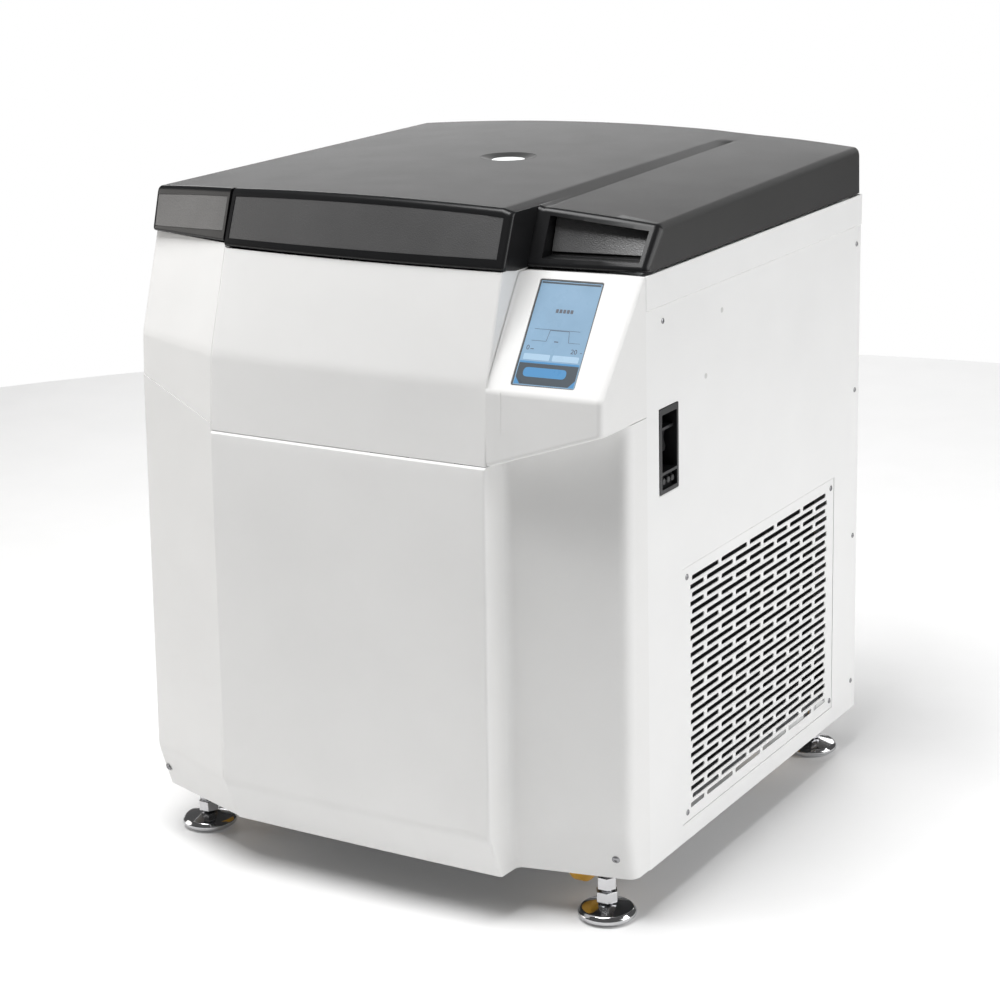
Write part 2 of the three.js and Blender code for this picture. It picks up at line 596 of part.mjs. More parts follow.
function makeLid() {
  const stations = [-320, -236, -228, -150, -75, 0, 75, 150, 195, 224, 233.9, 236.1, 300];
  const outer = ringed([
    lidSection(-405, 0, 9), lidSection(-402, 0, 3), lidSection(-396, 0),
    ...stations.map((x) => lidSection(x, 0)),
    lidSection(396, 0), lidSection(402, 0, 3), lidSection(405, 0, 9)]);
  const inner = ringed([
    lidSection(-halfWidth + lidWall, lidWall, 4), ...stations.map((x) => (
      lidSection(x < 232 && x > 150 ? x - lidWall : x, lidWall))),
    lidSection(halfWidth - lidWall, lidWall, 4)]);
  const wallEnds = [pocket.x[0] - 5, pocket.x[1] + 5];
  const pocketWall = ringed(wallEnds.map((x) => pocketSection(x, 5)));
  const pocketHollow = ringed(pocket.x.map((x) => pocketSection(x, 0)));
  const spyHole = turned([[0, 940], [27, 940], [27, 991.9], [43, 998], [43, 1010], [0, 1010]], 28);
  const seat = 3.4;
  const middleX = [-222, -111, 0, 111, 222];
  const wingX = [-396, -239];
  const hollowed = solid(outer).subtract(solid(inner)).add(solid(pocketWall).intersect(solid(outer)));
  piece('lid_shell', cut(hollowed, pocketHollow, spyHole.translate(0, chamberY, 0),
    fasciaSheet(middleX.map((x) => x * 1.002), [917, 979.2], -4, 4 + seat),
    fasciaSheet([wingX[0] - 2, wingX[1] + 2], [917, 969.2], -4, 4 + seat)), darkPlastic);
  const inside = middleX.map((x) => x * 0.998);
  piece('lid_fascia_center', fasciaSheet(inside, [917.4, 978.8], 0.4, 2.4), grainedPlastic);
  piece('lid_fascia_left', fasciaSheet([wingX[0] + 1, wingX[1] - 1], [917.4, 968.8], 0.4, 2.4), grainedPlastic);

  const back = pocket.x.map((x, k) => {
    const at = x + (k ? -1 : 1);
    const ends = [pocket.floor + 6, pocketTop(at) - 6];
    const face = ends.map((z) => pocketBack(at, z) - 0.6);
    return [[face[0] - 3, ends[0]], [face[0], ends[0]], [face[1], ends[1]],
      [face[1] - 3, ends[1]]].map(([y, z]) => [at, y, z]);
  });
  piece('lid_handle_insert', ringed(back), grainedPlastic);

  const edge = [[-390, -306], [-236, -360], [-116, -372], [0, -375], [116, -372], [224, -362],
    [224, -283], [390, -283], [390, 424], [-390, 424]];
  const plug = turned([[0, 886], [246, 886], [256, 892], [256, linerZ[0] + 1], [0, linerZ[0] + 1]], 32);
  const ears = [-1, 1].map((side) => block(
    side < 0 ? [-strut.x - 17, -strut.x - 13] : [strut.x + 13, strut.x + 17],
    [strut.head[0] - 9, strut.head[0] + 9], [strut.head[1] - 9, linerZ[0] + 1]));
  const tube = turned([[0, 880], [26, 880], [26, 930], [0, 930]], 28);
  const liner = join(plateZ(edge, linerZ), plug.translate(0, chamberY, 0), ...ears);
  piece('lid_liner', liner.subtract(solid(tube.translate(0, chamberY, 0))), aluminium);
  const seal = turned([[272, 898.3], [284, 898.3], [284, 901.7], [272, 901.7], [272, 898.3]], 32);
  piece('lid_gasket', seal.translate(0, chamberY, 0), rubber);

  const dish = turned([[24, 985], [26.6, 985], [26.6, 992.3], [42.4, 998.1], [41.5, 998.5], [24, 993],
    [24, 985]], 28);
  piece('spy_window_ring', dish.translate(0, chamberY, 0), darkPlastic);
  const pane = turned([[0, 987], [23.7, 987], [23.7, 990], [0, 990]], 24);
  piece('spy_window_glass', pane.translate(0, chamberY, 0), clearGlass);
}

// ---- hinges, lock and struts ----

function makeHinges() {
  for (const side of [-1, 1]) {
    const name = side < 0 ? 'left' : 'right';
    const third = hinge.width / 3;
    const x0 = side * hinge.x - hinge.width / 2;
    const { y, z, radius } = hinge;
    const ends = [[x0, x0 + third], [x0 + 2 * third, x0 + 3 * third]];
    const knuckles = ends.map((x) => join(
      rodX(x, y, z, radius), block(x, [backY + gap, y], [z - 14, z])));
    const leaf = block([x0, x0 + 3 * third], [backY + gap, backY + 2.3], [z - 37, z - 8]);
    const pin = rodX([x0 + 1, x0 + 3 * third - 1], y, z, 2.4, 12);
    piece(`hinge_bracket_${name}`, join(leaf, ...knuckles, pin), zincSteel);
    const x = [x0 + third + 0.5, x0 + 2 * third - 0.5];
    const arm = plateX([[y - 4.4, z + 1], [y - 4.4, z + 9.7], [437.4, z + 9.7], [437.4, z + 40],
      [440.2, z + 40], [440.2, z + 13], [y, z + 13], [y + 4, z + 2]], x);
    piece(`hinge_arm_${name}`, cut(join(rodX(x, y, z, radius), arm),
      rodX([x[0] - 1, x[1] + 1], y, z, 2.8, 12)), zincSteel);
  }
}

function makeLock() {
  const [y, z] = [lock.y, lock.z];
  piece('lid_striker', cut(
    block([-3, 3], [y - 18, y + 18], [z - 12, linerZ[0] - gap]), rodX([-5, 5], y, z, 8)), zincSteel);
  piece('lid_lock_housing', cut(
    block([-46, 46], [y - 26, y + 26], [z - 20, deckZ[0] - gap]),
    block([-6, 6], [y - 22, y + 22], [z - 30, z + 40]),
    rodX([-50, 34], y, z, 6.5)), castIron);
  piece('lid_lock_bolt', rodX([-44, -8], y, z, 6), stainless);
}

function makeStruts() {
  const [from, to] = [strut.base, strut.head];
  const length = Math.hypot(to[0] - from[0], to[1] - from[1]);
  for (const side of [-1, 1]) {
    const name = side < 0 ? 'left' : 'right';
    const lean = new THREE.Group();
    lean.position.set(side * strut.x, from[0], from[1] + foot.drop);
    lean.rotation.x = Math.atan2(to[1] - from[1], to[0] - from[0]) - Math.PI / 2;
    machine.add(lean);
    const { body, rod } = strut;
    const tube = turned([[0, -body], [body, -body + 3], [body, strut.length - 6], [body - 2, strut.length],
      [rod + 0.5, strut.length], [rod + 0.5, 10], [0, 10]], 16);
    const reach = panelX - wall - gap - strut.x;
    const stud = rodX(side < 0 ? [-reach, 0] : [0, reach], 0, 0, 4, 12);
    piece(`strut_cylinder_${name}`, join(tube, stud), blackPlastic, lean);
    const shaft = turned([[0, 12], [rod, 12], [rod, length - 8], [rod + 3, length - 6],
      [rod + 3, length + 7], [0, length + 8]], 14);
    piece(`strut_rod_${name}`, shaft, chrome, lean);
  }
}

makeBase();
makeFeet();
makeCastors();
makeChamber();
makeDrive();
makeRotor();
makeServices();
makeCabinet();
makeFrontCovers();
makeConsole();
makeLid();
makeHinges();
makeLock();
makeStruts();

export default machine;
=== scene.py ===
import math

import bmesh
import bpy
from mathutils import Matrix, Vector


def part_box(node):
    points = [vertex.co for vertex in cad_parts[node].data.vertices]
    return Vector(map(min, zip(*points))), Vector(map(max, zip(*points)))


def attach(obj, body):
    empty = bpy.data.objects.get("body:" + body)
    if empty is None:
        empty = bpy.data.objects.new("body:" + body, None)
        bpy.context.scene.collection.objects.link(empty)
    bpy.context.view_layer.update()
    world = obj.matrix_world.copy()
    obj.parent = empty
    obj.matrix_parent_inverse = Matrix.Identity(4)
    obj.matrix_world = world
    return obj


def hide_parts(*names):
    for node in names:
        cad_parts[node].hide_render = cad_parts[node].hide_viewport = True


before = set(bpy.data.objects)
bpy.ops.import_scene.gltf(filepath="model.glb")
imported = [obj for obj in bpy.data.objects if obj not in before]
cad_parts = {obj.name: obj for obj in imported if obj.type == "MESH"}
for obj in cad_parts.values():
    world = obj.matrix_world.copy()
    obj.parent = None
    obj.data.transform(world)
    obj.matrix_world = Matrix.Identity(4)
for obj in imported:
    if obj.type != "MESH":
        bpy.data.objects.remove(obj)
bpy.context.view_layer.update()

# A floor-standing refrigerated laboratory centrifuge. Lengths are in millimetres until a mesh is made.
# +X is the operator's right and the front looks towards -Y. Heights are counted from a level that
# lies drop above the floor, because the pads of the feet reach below it.
drop = 20
axle = (0, 33, 0)  # the spy window, the chamber and the rotor share this upright axis


# Numbers and outlines
def between(x, x0, x1, a, b):  # a at x0 and b at x1, held level beyond them
    t = min(max((x - x0) / (x1 - x0), 0), 1)
    return a + (b - a) * t


def onLine(x, knots):  # a line through (x, value) knots, its ends carried on straight
    for (x0, a), (x1, b) in zip(knots, knots[1:]):
        if x <= x1:
            break
    return a + (b - a) * (x - x0) / (x1 - x0)


def eased(x, knots, reach, samples=8):  # the same line with each corner rounded over reach
    places = [x + reach * (2 * k / samples - 1) for k in range(samples + 1)]
    return sum(onLine(place, knots) for place in places) / len(places)


def arcPath(points, radii, steps=5):  # corners with a radius turn into short curves
    path = []
    for k, (point, radius) in enumerate(zip(points, radii)):
        corner = Vector(point)
        if not radius:
            path.append(tuple(corner))
            continue
        before = Vector(points[k - 1]) - corner
        after = Vector(points[(k + 1) % len(points)]) - corner
        reach = min(radius / math.tan(before.angle(after) / 2), 0.48 * before.length, 0.48 * after.length)
        start, end = corner + before.normalized() * reach, corner + after.normalized() * reach
        for s in range(steps + 1):
            t = s / steps
            path.append(tuple(start.lerp(corner, t).lerp(corner.lerp(end, t), t)))
    return path


def nodeBox(name):  # a CAD node's box in millimetres
    low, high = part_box(name)
    return low * 1000 - Vector((0, 0, drop)), high * 1000 - Vector((0, 0, drop))


# Making meshes
def meshObject(name, points, faces, materials):
    mesh = bpy.data.meshes.new(name)
    mesh.from_pydata([(x / 1000, y / 1000, (z + drop) / 1000) for x, y, z in points], [], faces)
    for material in materials if isinstance(materials, (list, tuple)) else [materials]:
        mesh.materials.append(material)
    obj = bpy.data.objects.new(name, mesh)
    bpy.context.scene.collection.objects.link(obj)
    return obj


def skin(rows, loop=True, caps=True, flip=False):  # points and faces over equal rows of points
    count = len(rows[0])
    faces = []
    for r in range(len(rows) - 1):
        for k in range(count if loop else count - 1):
            a, b = r * count + k, r * count + (k + 1) % count
            faces.append((a, b, b + count, a + count))
    if caps:
        faces.append(tuple(range(count - 1, -1, -1)))
        faces.append(tuple(range((len(rows) - 1) * count, len(rows) * count)))
    if flip:
        faces = [face[::-1] for face in faces]
    return [p for row in rows for p in row], faces


def turnOut(obj):  # doubles merged, then every face turned outwards
    work = bmesh.new()
    work.from_mesh(obj.data)
    bmesh.ops.remove_doubles(work, verts=work.verts, dist=0.00001)
    bmesh.ops.recalc_face_normals(work, faces=work.faces)
    work.to_mesh(obj.data)
    work.free()
    return obj


def bake(obj):  # the modifiers' result becomes the plain mesh
    mesh = bpy.data.meshes.new_from_object(obj.evaluated_get(bpy.context.evaluated_depsgraph_get()))
    old = obj.data
    obj.modifiers.clear()
    obj.data = mesh
    mesh.name = obj.name
    bpy.data.meshes.remove(old)


def solidLoft(name, rows, materials):
    return turnOut(meshObject(name, *skin(rows), materials))


def block(name, x, y, z, materials):
    row = lambda at: [(at, y[0], z[0]), (at, y[1], z[0]), (at, y[1], z[1]), (at, y[0], z[1])]
    return solidLoft(name, [row(x[0]), row(x[1])], materials)


def turned(name, profile, centre, materials, sides=72, axis="z"):  # a [radius, height] outline, revolved
    order = {"z": (0, 1, 2), "x": (2, 0, 1), "y": (1, 2, 0)}[axis]
    ring = [2 * math.pi * k / sides for k in range(sides)]
    rows = []
    for radius, height in profile:
        spots = [(radius * math.cos(a), radius * math.sin(a), height) for a in ring]
        rows.append([tuple(Vector(centre) + Vector([spot[k] for k in order])) for spot in spots])
    return turnOut(meshObject(name, *skin(rows, caps=False), materials))


def carve(obj, cutters, how="DIFFERENCE"):
    for cutter in cutters:
        change = obj.modifiers.new("change", "BOOLEAN")
        change.operation, change.object, change.solver = how, cutter, "MANIFOLD"
        bake(obj)
        bpy.data.objects.remove(cutter)
    return obj


def complete(obj, body, stands=(), wall=0, bevel=0, steps=3, sharp=38, corner=30):
    if wall:
        shell = obj.modifiers.new("wall", "SOLIDIFY")
        shell.thickness, shell.offset, shell.use_even_offset = wall / 1000, -1, True
    if bevel:
        edge = obj.modifiers.new("edge", "BEVEL")
        edge.width, edge.segments, edge.limit_method = bevel / 1000, steps, "ANGLE"
        edge.angle_limit = math.radians(corner)
    if obj.modifiers:
        bake(obj)
    obj.data.polygons.foreach_set("use_smooth", [True] * len(obj.data.polygons))
    obj.data.set_sharp_from_angle(angle=math.radians(sharp))
    weighted = obj.modifiers.new("weighted", "WEIGHTED_NORMAL")
    weighted.keep_sharp = True
    bake(obj)
    if stands:
        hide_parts(*([stands] if isinstance(stands, str) else stands))
    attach(obj, body)
    return obj


def refined(node, material, body="root", bevel=0.8, steps=2):  # a CAD piece with its edges broken
    obj = bpy.data.objects.new(node + "_fine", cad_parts[node].data.copy())
    bpy.context.scene.collection.objects.link(obj)
    obj.data.materials.clear()
    obj.data.materials.append(material)
    work = bmesh.new()
    work.from_mesh(obj.data)
    bmesh.ops.remove_doubles(work, verts=work.verts, dist=0.00001)
    bmesh.ops.dissolve_limit(work, angle_limit=math.radians(1), verts=work.verts, edges=work.edges)
    work.to_mesh(obj.data)
    work.free()
    return complete(obj, body, node, bevel=bevel, steps=steps)


# Materials
def addNode(tree, kind, **values):
    node = tree.nodes.new(kind)
    for name, value in values.items():
        setattr(node, name, value)
    return node


def noise(tree, coords, scale, detail=2.0, stretch=None):
    node = addNode(tree, "ShaderNodeTexNoise")
    node.inputs["Scale"].default_value = scale
    node.inputs["Detail"].default_value = detail
    if stretch:
        mapping = addNode(tree, "ShaderNodeMapping")
        mapping.inputs["Scale"].default_value = stretch
        tree.links.new(coords.outputs["Object"], mapping.inputs["Vector"])
        tree.links.new(mapping.outputs["Vector"], node.inputs["Vector"])
    else:
        tree.links.new(coords.outputs["Object"], node.inputs["Vector"])
    return node


def spread(tree, source, low, high, start=0.35, end=0.65):  # maps a noise onto a range of values
    node = addNode(tree, "ShaderNodeMapRange")
    for name, value in (("From Min", start), ("From Max", end), ("To Min", low), ("To Max", high)):
        node.inputs[name].default_value = value
    tree.links.new(source, node.inputs["Value"])
    return node.outputs["Result"]


def surface(name, colour, roughness, metal=0.0, tone=0.04, toneScale=6.0, rough=0.06, grain=(900, 0.02),
            fine=None, coat=0.0, stretch=None, specular=0.5, glow=0.0):
    material = bpy.data.materials.new(name)
    material.use_nodes = True
    tree = material.node_tree
    shader = tree.nodes["Principled BSDF"]
    shader.inputs["Metallic"].default_value = metal
    shader.inputs["Coat Weight"].default_value = coat
    shader.inputs["Coat Roughness"].default_value = 0.12
    shader.inputs["Specular IOR Level"].default_value = specular
    coords = addNode(tree, "ShaderNodeTexCoord")
    drift = noise(tree, coords, toneScale, 4)
    mix = addNode(tree, "ShaderNodeMix", data_type="RGBA")
    mix.inputs["A"].default_value = [c * (1 - tone) for c in colour] + [1]
    mix.inputs["B"].default_value = [min(c * (1 + tone), 1) for c in colour] + [1]
    tree.links.new(spread(tree, drift.outputs["Fac"], 0, 1), mix.inputs["Factor"])
    tree.links.new(mix.outputs["Result"], shader.inputs["Base Color"])
    cells = noise(tree, coords, grain[0], 3, stretch)
    smudge = noise(tree, coords, toneScale * 2.6, 5)
    tree.links.new(spread(tree, smudge.outputs["Fac"], roughness - rough, roughness + rough),
                   shader.inputs["Roughness"])
    bump = addNode(tree, "ShaderNodeBump")
    bump.inputs["Distance"].default_value = grain[1] / 1000
    bump.inputs["Strength"].default_value = 1.0
    tree.links.new(cells.outputs["Fac"], bump.inputs["Height"])
    if fine:  # a second, coarser or finer relief under the first
        pits = addNode(tree, "ShaderNodeTexVoronoi")
        pits.inputs["Scale"].default_value = fine[0]
        tree.links.new(coords.outputs["Object"], pits.inputs["Vector"])
        under = addNode(tree, "ShaderNodeBump")
        under.inputs["Distance"].default_value = fine[1] / 1000
        tree.links.new(pits.outputs["Distance"], under.inputs["Height"])
        tree.links.new(under.outputs["Normal"], bump.inputs["Normal"])
    tree.links.new(bump.outputs["Normal"], shader.inputs["Normal"])
    if glow:
        shader.inputs["Emission Color"].default_value = list(colour) + [1]
        shader.inputs["Emission Strength"].default_value = glow
    return material


paints = {
    "panelPaint": dict(colour=(0.83, 0.83, 0.825), roughness=0.42, tone=0.012, grain=(1400, 0.012),
                       coat=0.05),
    "coverPlastic": dict(colour=(0.80, 0.798, 0.79), roughness=0.5, tone=0.015, grain=(1700, 0.03),
                         fine=(1100, 0.012), specular=0.3),
    "lidPlastic": dict(colour=(0.03, 0.0298, 0.0295), roughness=0.5, tone=0.05, grain=(800, 0.08),
                       fine=(620, 0.08), rough=0.01, specular=0.5),
    # darker than lidPlastic: a glossy black rim, darkened further as a painted dark reflection on the rounded
    # front rims and as painted shade in the handle pocket
    "rimPlasticPaintedShade": dict(colour=(0.010, 0.0101, 0.0108), roughness=0.3, tone=0.05, grain=(900, 0.03),
                       rough=0.015, specular=0.25),
    "fasciaPlastic": dict(colour=(0.06, 0.06, 0.061), roughness=0.40, tone=0.06, grain=(750, 0.16),
                          fine=(560, 0.16), rough=0.02, specular=0.9),
    "blackPlastic": dict(colour=(0.012, 0.012, 0.013), roughness=0.35, tone=0.1, grain=(900, 0.03)),
    "greyPlastic": dict(colour=(0.075, 0.077, 0.08), roughness=0.5, tone=0.08, grain=(900, 0.05)),
    "plugPlastic": dict(colour=(0.62, 0.62, 0.61), roughness=0.45, tone=0.03, grain=(900, 0.02)),
    "chromePlate": dict(colour=(0.56, 0.56, 0.57), roughness=0.1, metal=1, tone=0.02, rough=0.04,
                        grain=(240, 0.01)),
    "screwSteel": dict(colour=(0.30, 0.30, 0.31), roughness=0.34, metal=1, tone=0.1, grain=(1500, 0.02)),
    "zincSteel": dict(colour=(0.62, 0.63, 0.65), roughness=0.4, metal=1, tone=0.08, toneScale=18,
                      grain=(500, 0.03)),
    "brushedSteel": dict(colour=(0.66, 0.67, 0.68), roughness=0.3, metal=1, tone=0.03, grain=(60, 0.02),
                         stretch=(1, 1, 30)),
    "turnedAluminium": dict(colour=(0.70, 0.71, 0.73), roughness=0.33, metal=1, tone=0.05,
                            grain=(420, 0.02)),
    # a real dark casting on the drum and lock housing, and also used on the base plate as painted shade
    # behind the side grille
    "darkCastingAndShade": dict(colour=(0.11, 0.115, 0.12), roughness=0.62, metal=0.3, tone=0.15, grain=(260, 0.25)),
    "motorEnamel": dict(colour=(0.03, 0.032, 0.036), roughness=0.4, tone=0.1, grain=(500, 0.05)),
    # near black so the fins behind the side grille stand in for painted shade inside the cabinet
    "finMetalPaintedShade": dict(colour=(0.05, 0.052, 0.055), roughness=0.5, metal=0.7, tone=0.2, grain=(700, 0.02)),
    "copperPipe": dict(colour=(0.62, 0.28, 0.15), roughness=0.35, metal=1, tone=0.12, grain=(400, 0.02)),
    "sealRubber": dict(colour=(0.018, 0.018, 0.018), roughness=0.8, tone=0.1, grain=(700, 0.06)),
    "amberTread": dict(colour=(0.78, 0.42, 0.05), roughness=0.45, tone=0.06, grain=(300, 0.04)),
    "screenSky": dict(colour=(0.20, 0.32, 0.445), roughness=0.3, tone=0.06, toneScale=14, grain=(2600, 0.004),
                      glow=0.16, specular=0.15),
    "screenBand": dict(colour=(0.06, 0.075, 0.09), roughness=0.3, tone=0.05, grain=(2600, 0.004), glow=0.1,
                       specular=0.15),
    "screenButton": dict(colour=(0.07, 0.22, 0.42), roughness=0.3, tone=0.04, grain=(2600, 0.004), glow=0.2,
                         specular=0.15),
    "screenPale": dict(colour=(0.33, 0.47, 0.6), roughness=0.3, tone=0.03, grain=(2600, 0.004), glow=0.16,
                       specular=0.15),
    "screenInk": dict(colour=(0.025, 0.035, 0.06), roughness=0.3, tone=0.05, grain=(2600, 0.004)),
    "windowPane": dict(colour=(0.86, 0.88, 0.88), roughness=0.16, tone=0.01, rough=0.02, grain=(300, 0.002)),
}
look = {name: surface(name, **values) for name, values in paints.items()}
windowShader = look["windowPane"].node_tree.nodes["Principled BSDF"]
windowShader.inputs["Transmission Weight"].default_value = 0.3
print("materials ready:", len(look))


# Camera
cameraView = {"position": (1.91684, -3.19108, 1.56749), "azimuth": 31.086, "elevation": 15.047,
              "roll": -1.375, "lens": 89.636, "shiftY": -0.05}


def placeCamera(view):
    azimuth, elevation, roll = (math.radians(view[k]) for k in ("azimuth", "elevation", "roll"))
    ahead = Vector((-math.sin(azimuth) * math.cos(elevation), math.cos(azimuth) * math.cos(elevation),
                    -math.sin(elevation)))
    right = ahead.cross(Vector((0, 0, 1))).normalized()
    up = right.cross(ahead)
    sideways = right * math.cos(roll) + up * math.sin(roll)
    upwards = up * math.cos(roll) - right * math.sin(roll)
    data = bpy.data.cameras.new("camera")
    data.lens, data.sensor_width, data.shift_y = view["lens"], 36, view["shiftY"]
    camera = bpy.data.objects.new("camera", data)
    bpy.context.scene.collection.objects.link(camera)
    matrix = Matrix((sideways, upwards, -ahead)).transposed().to_4x4()
    matrix.translation = view["position"]
    camera.matrix_world = matrix
    bpy.context.scene.camera = camera


placeCamera(cameraView)


# What repeats is made with geometry nodes
def newTree(name, inputs):
    tree = bpy.data.node_groups.new(name, "GeometryNodeTree")
    tree.interface.new_socket("Geometry", in_out="INPUT", socket_type="NodeSocketGeometry")
    for label, kind, value in inputs:
        socket = tree.interface.new_socket(label, in_out="INPUT", socket_type="NodeSocket" + kind)
        if value is not None:
            socket.default_value = value
    tree.interface.new_socket("Geometry", in_out="OUTPUT", socket_type="NodeSocketGeometry")
    return tree, tree.nodes.new("NodeGroupInput"), tree.nodes.new("NodeGroupOutput")


def plug(tree, node, **sources):  # joins sockets or sets values by the socket's name, _ for a space
    for name, source in sources.items():
        socket = node.inputs[int(name[1:])] if name[0] == "n" and name[1:].isdigit() else \
            node.inputs[name.replace("_", " ")]
        if isinstance(source, bpy.types.NodeSocket):
            tree.links.new(source, socket)
        else:
            socket.default_value = source
    return node


def gNode(tree, kind, settings=None, **sources):
    return plug(tree, addNode(tree, "GeometryNode" + kind, **(settings or {})), **sources)


def sums(tree, operation, a, b):
    node = addNode(tree, "ShaderNodeMath", operation=operation)
    plug(tree, node, n0=a, n1=b)
    return node.outputs[0]


def vector(tree, **parts):
    return plug(tree, addNode(tree, "ShaderNodeCombineXYZ"), **parts).outputs[0]


def fromTree(obj, tree, **settings):  # runs the tree on obj and keeps its plain mesh
    modifier = obj.modifiers.new("nodes", "NODES")
    modifier.node_group = tree
    for item in tree.interface.items_tree:
        key = item.name.replace(" ", "_")
        if item.in_out == "INPUT" and key in settings:
            modifier[item.identifier] = settings[key]
    bake(obj)
    return obj


def screwTree():  # a domed head with a six-sided socket on each point, turned to its direction
    tree, given, result = newTree("screwHeads", [("Radius", "Float", 0.004), ("Height", "Float", 0.002),
                                                 ("Socket", "Float", 0.45), ("Metal", "Material", None)])
    radius, height = given.outputs["Radius"], given.outputs["Height"]
    skirt = gNode(tree, "MeshCone", Vertices=20, Radius_Top=sums(tree, "MULTIPLY", radius, 0.96),
                  Radius_Bottom=radius, Depth=sums(tree, "MULTIPLY", height, 0.45))
    dome = gNode(tree, "MeshCone", Vertices=20, Radius_Top=sums(tree, "MULTIPLY", radius, 0.62),
                 Radius_Bottom=sums(tree, "MULTIPLY", radius, 0.96),
                 Depth=sums(tree, "MULTIPLY", height, 0.55))
    raised = gNode(tree, "Transform", Geometry=dome.outputs["Mesh"],
                   Translation=vector(tree, Z=sums(tree, "MULTIPLY", height, 0.45)))
    whole = gNode(tree, "MeshBoolean", {"operation": "UNION"})
    tree.links.new(skirt.outputs["Mesh"], whole.inputs["Mesh 2"])
    tree.links.new(raised.outputs["Geometry"], whole.inputs["Mesh 2"])
    across = sums(tree, "MULTIPLY", radius, given.outputs["Socket"])
    hollow = gNode(tree, "MeshCylinder", Vertices=6, Radius=across, Depth=height)
    socket = gNode(tree, "Transform", Geometry=hollow.outputs["Mesh"], Translation=vector(tree, Z=height))
    head = gNode(tree, "MeshBoolean", {"operation": "DIFFERENCE"})
    tree.links.new(whole.outputs["Mesh"], head.inputs["Mesh 1"])
    tree.links.new(socket.outputs["Geometry"], head.inputs["Mesh 2"])
    direction = gNode(tree, "InputNamedAttribute", {"data_type": "FLOAT_VECTOR"}, Name="direction")
    aim = addNode(tree, "FunctionNodeAlignRotationToVector", axis="Z")
    plug(tree, aim, Vector=direction.outputs["Attribute"])
    spots = gNode(tree, "MeshToPoints", Mesh=given.outputs["Geometry"])
    heads = gNode(tree, "InstanceOnPoints", Points=spots.outputs["Points"], Instance=head.outputs["Mesh"],
                  Rotation=aim.outputs["Rotation"])
    real = gNode(tree, "RealizeInstances", Geometry=heads.outputs["Instances"])
    paint = gNode(tree, "SetMaterial", Geometry=real.outputs["Geometry"], Material=given.outputs["Metal"])
    tree.links.new(paint.outputs["Geometry"], result.inputs["Geometry"])
    return tree


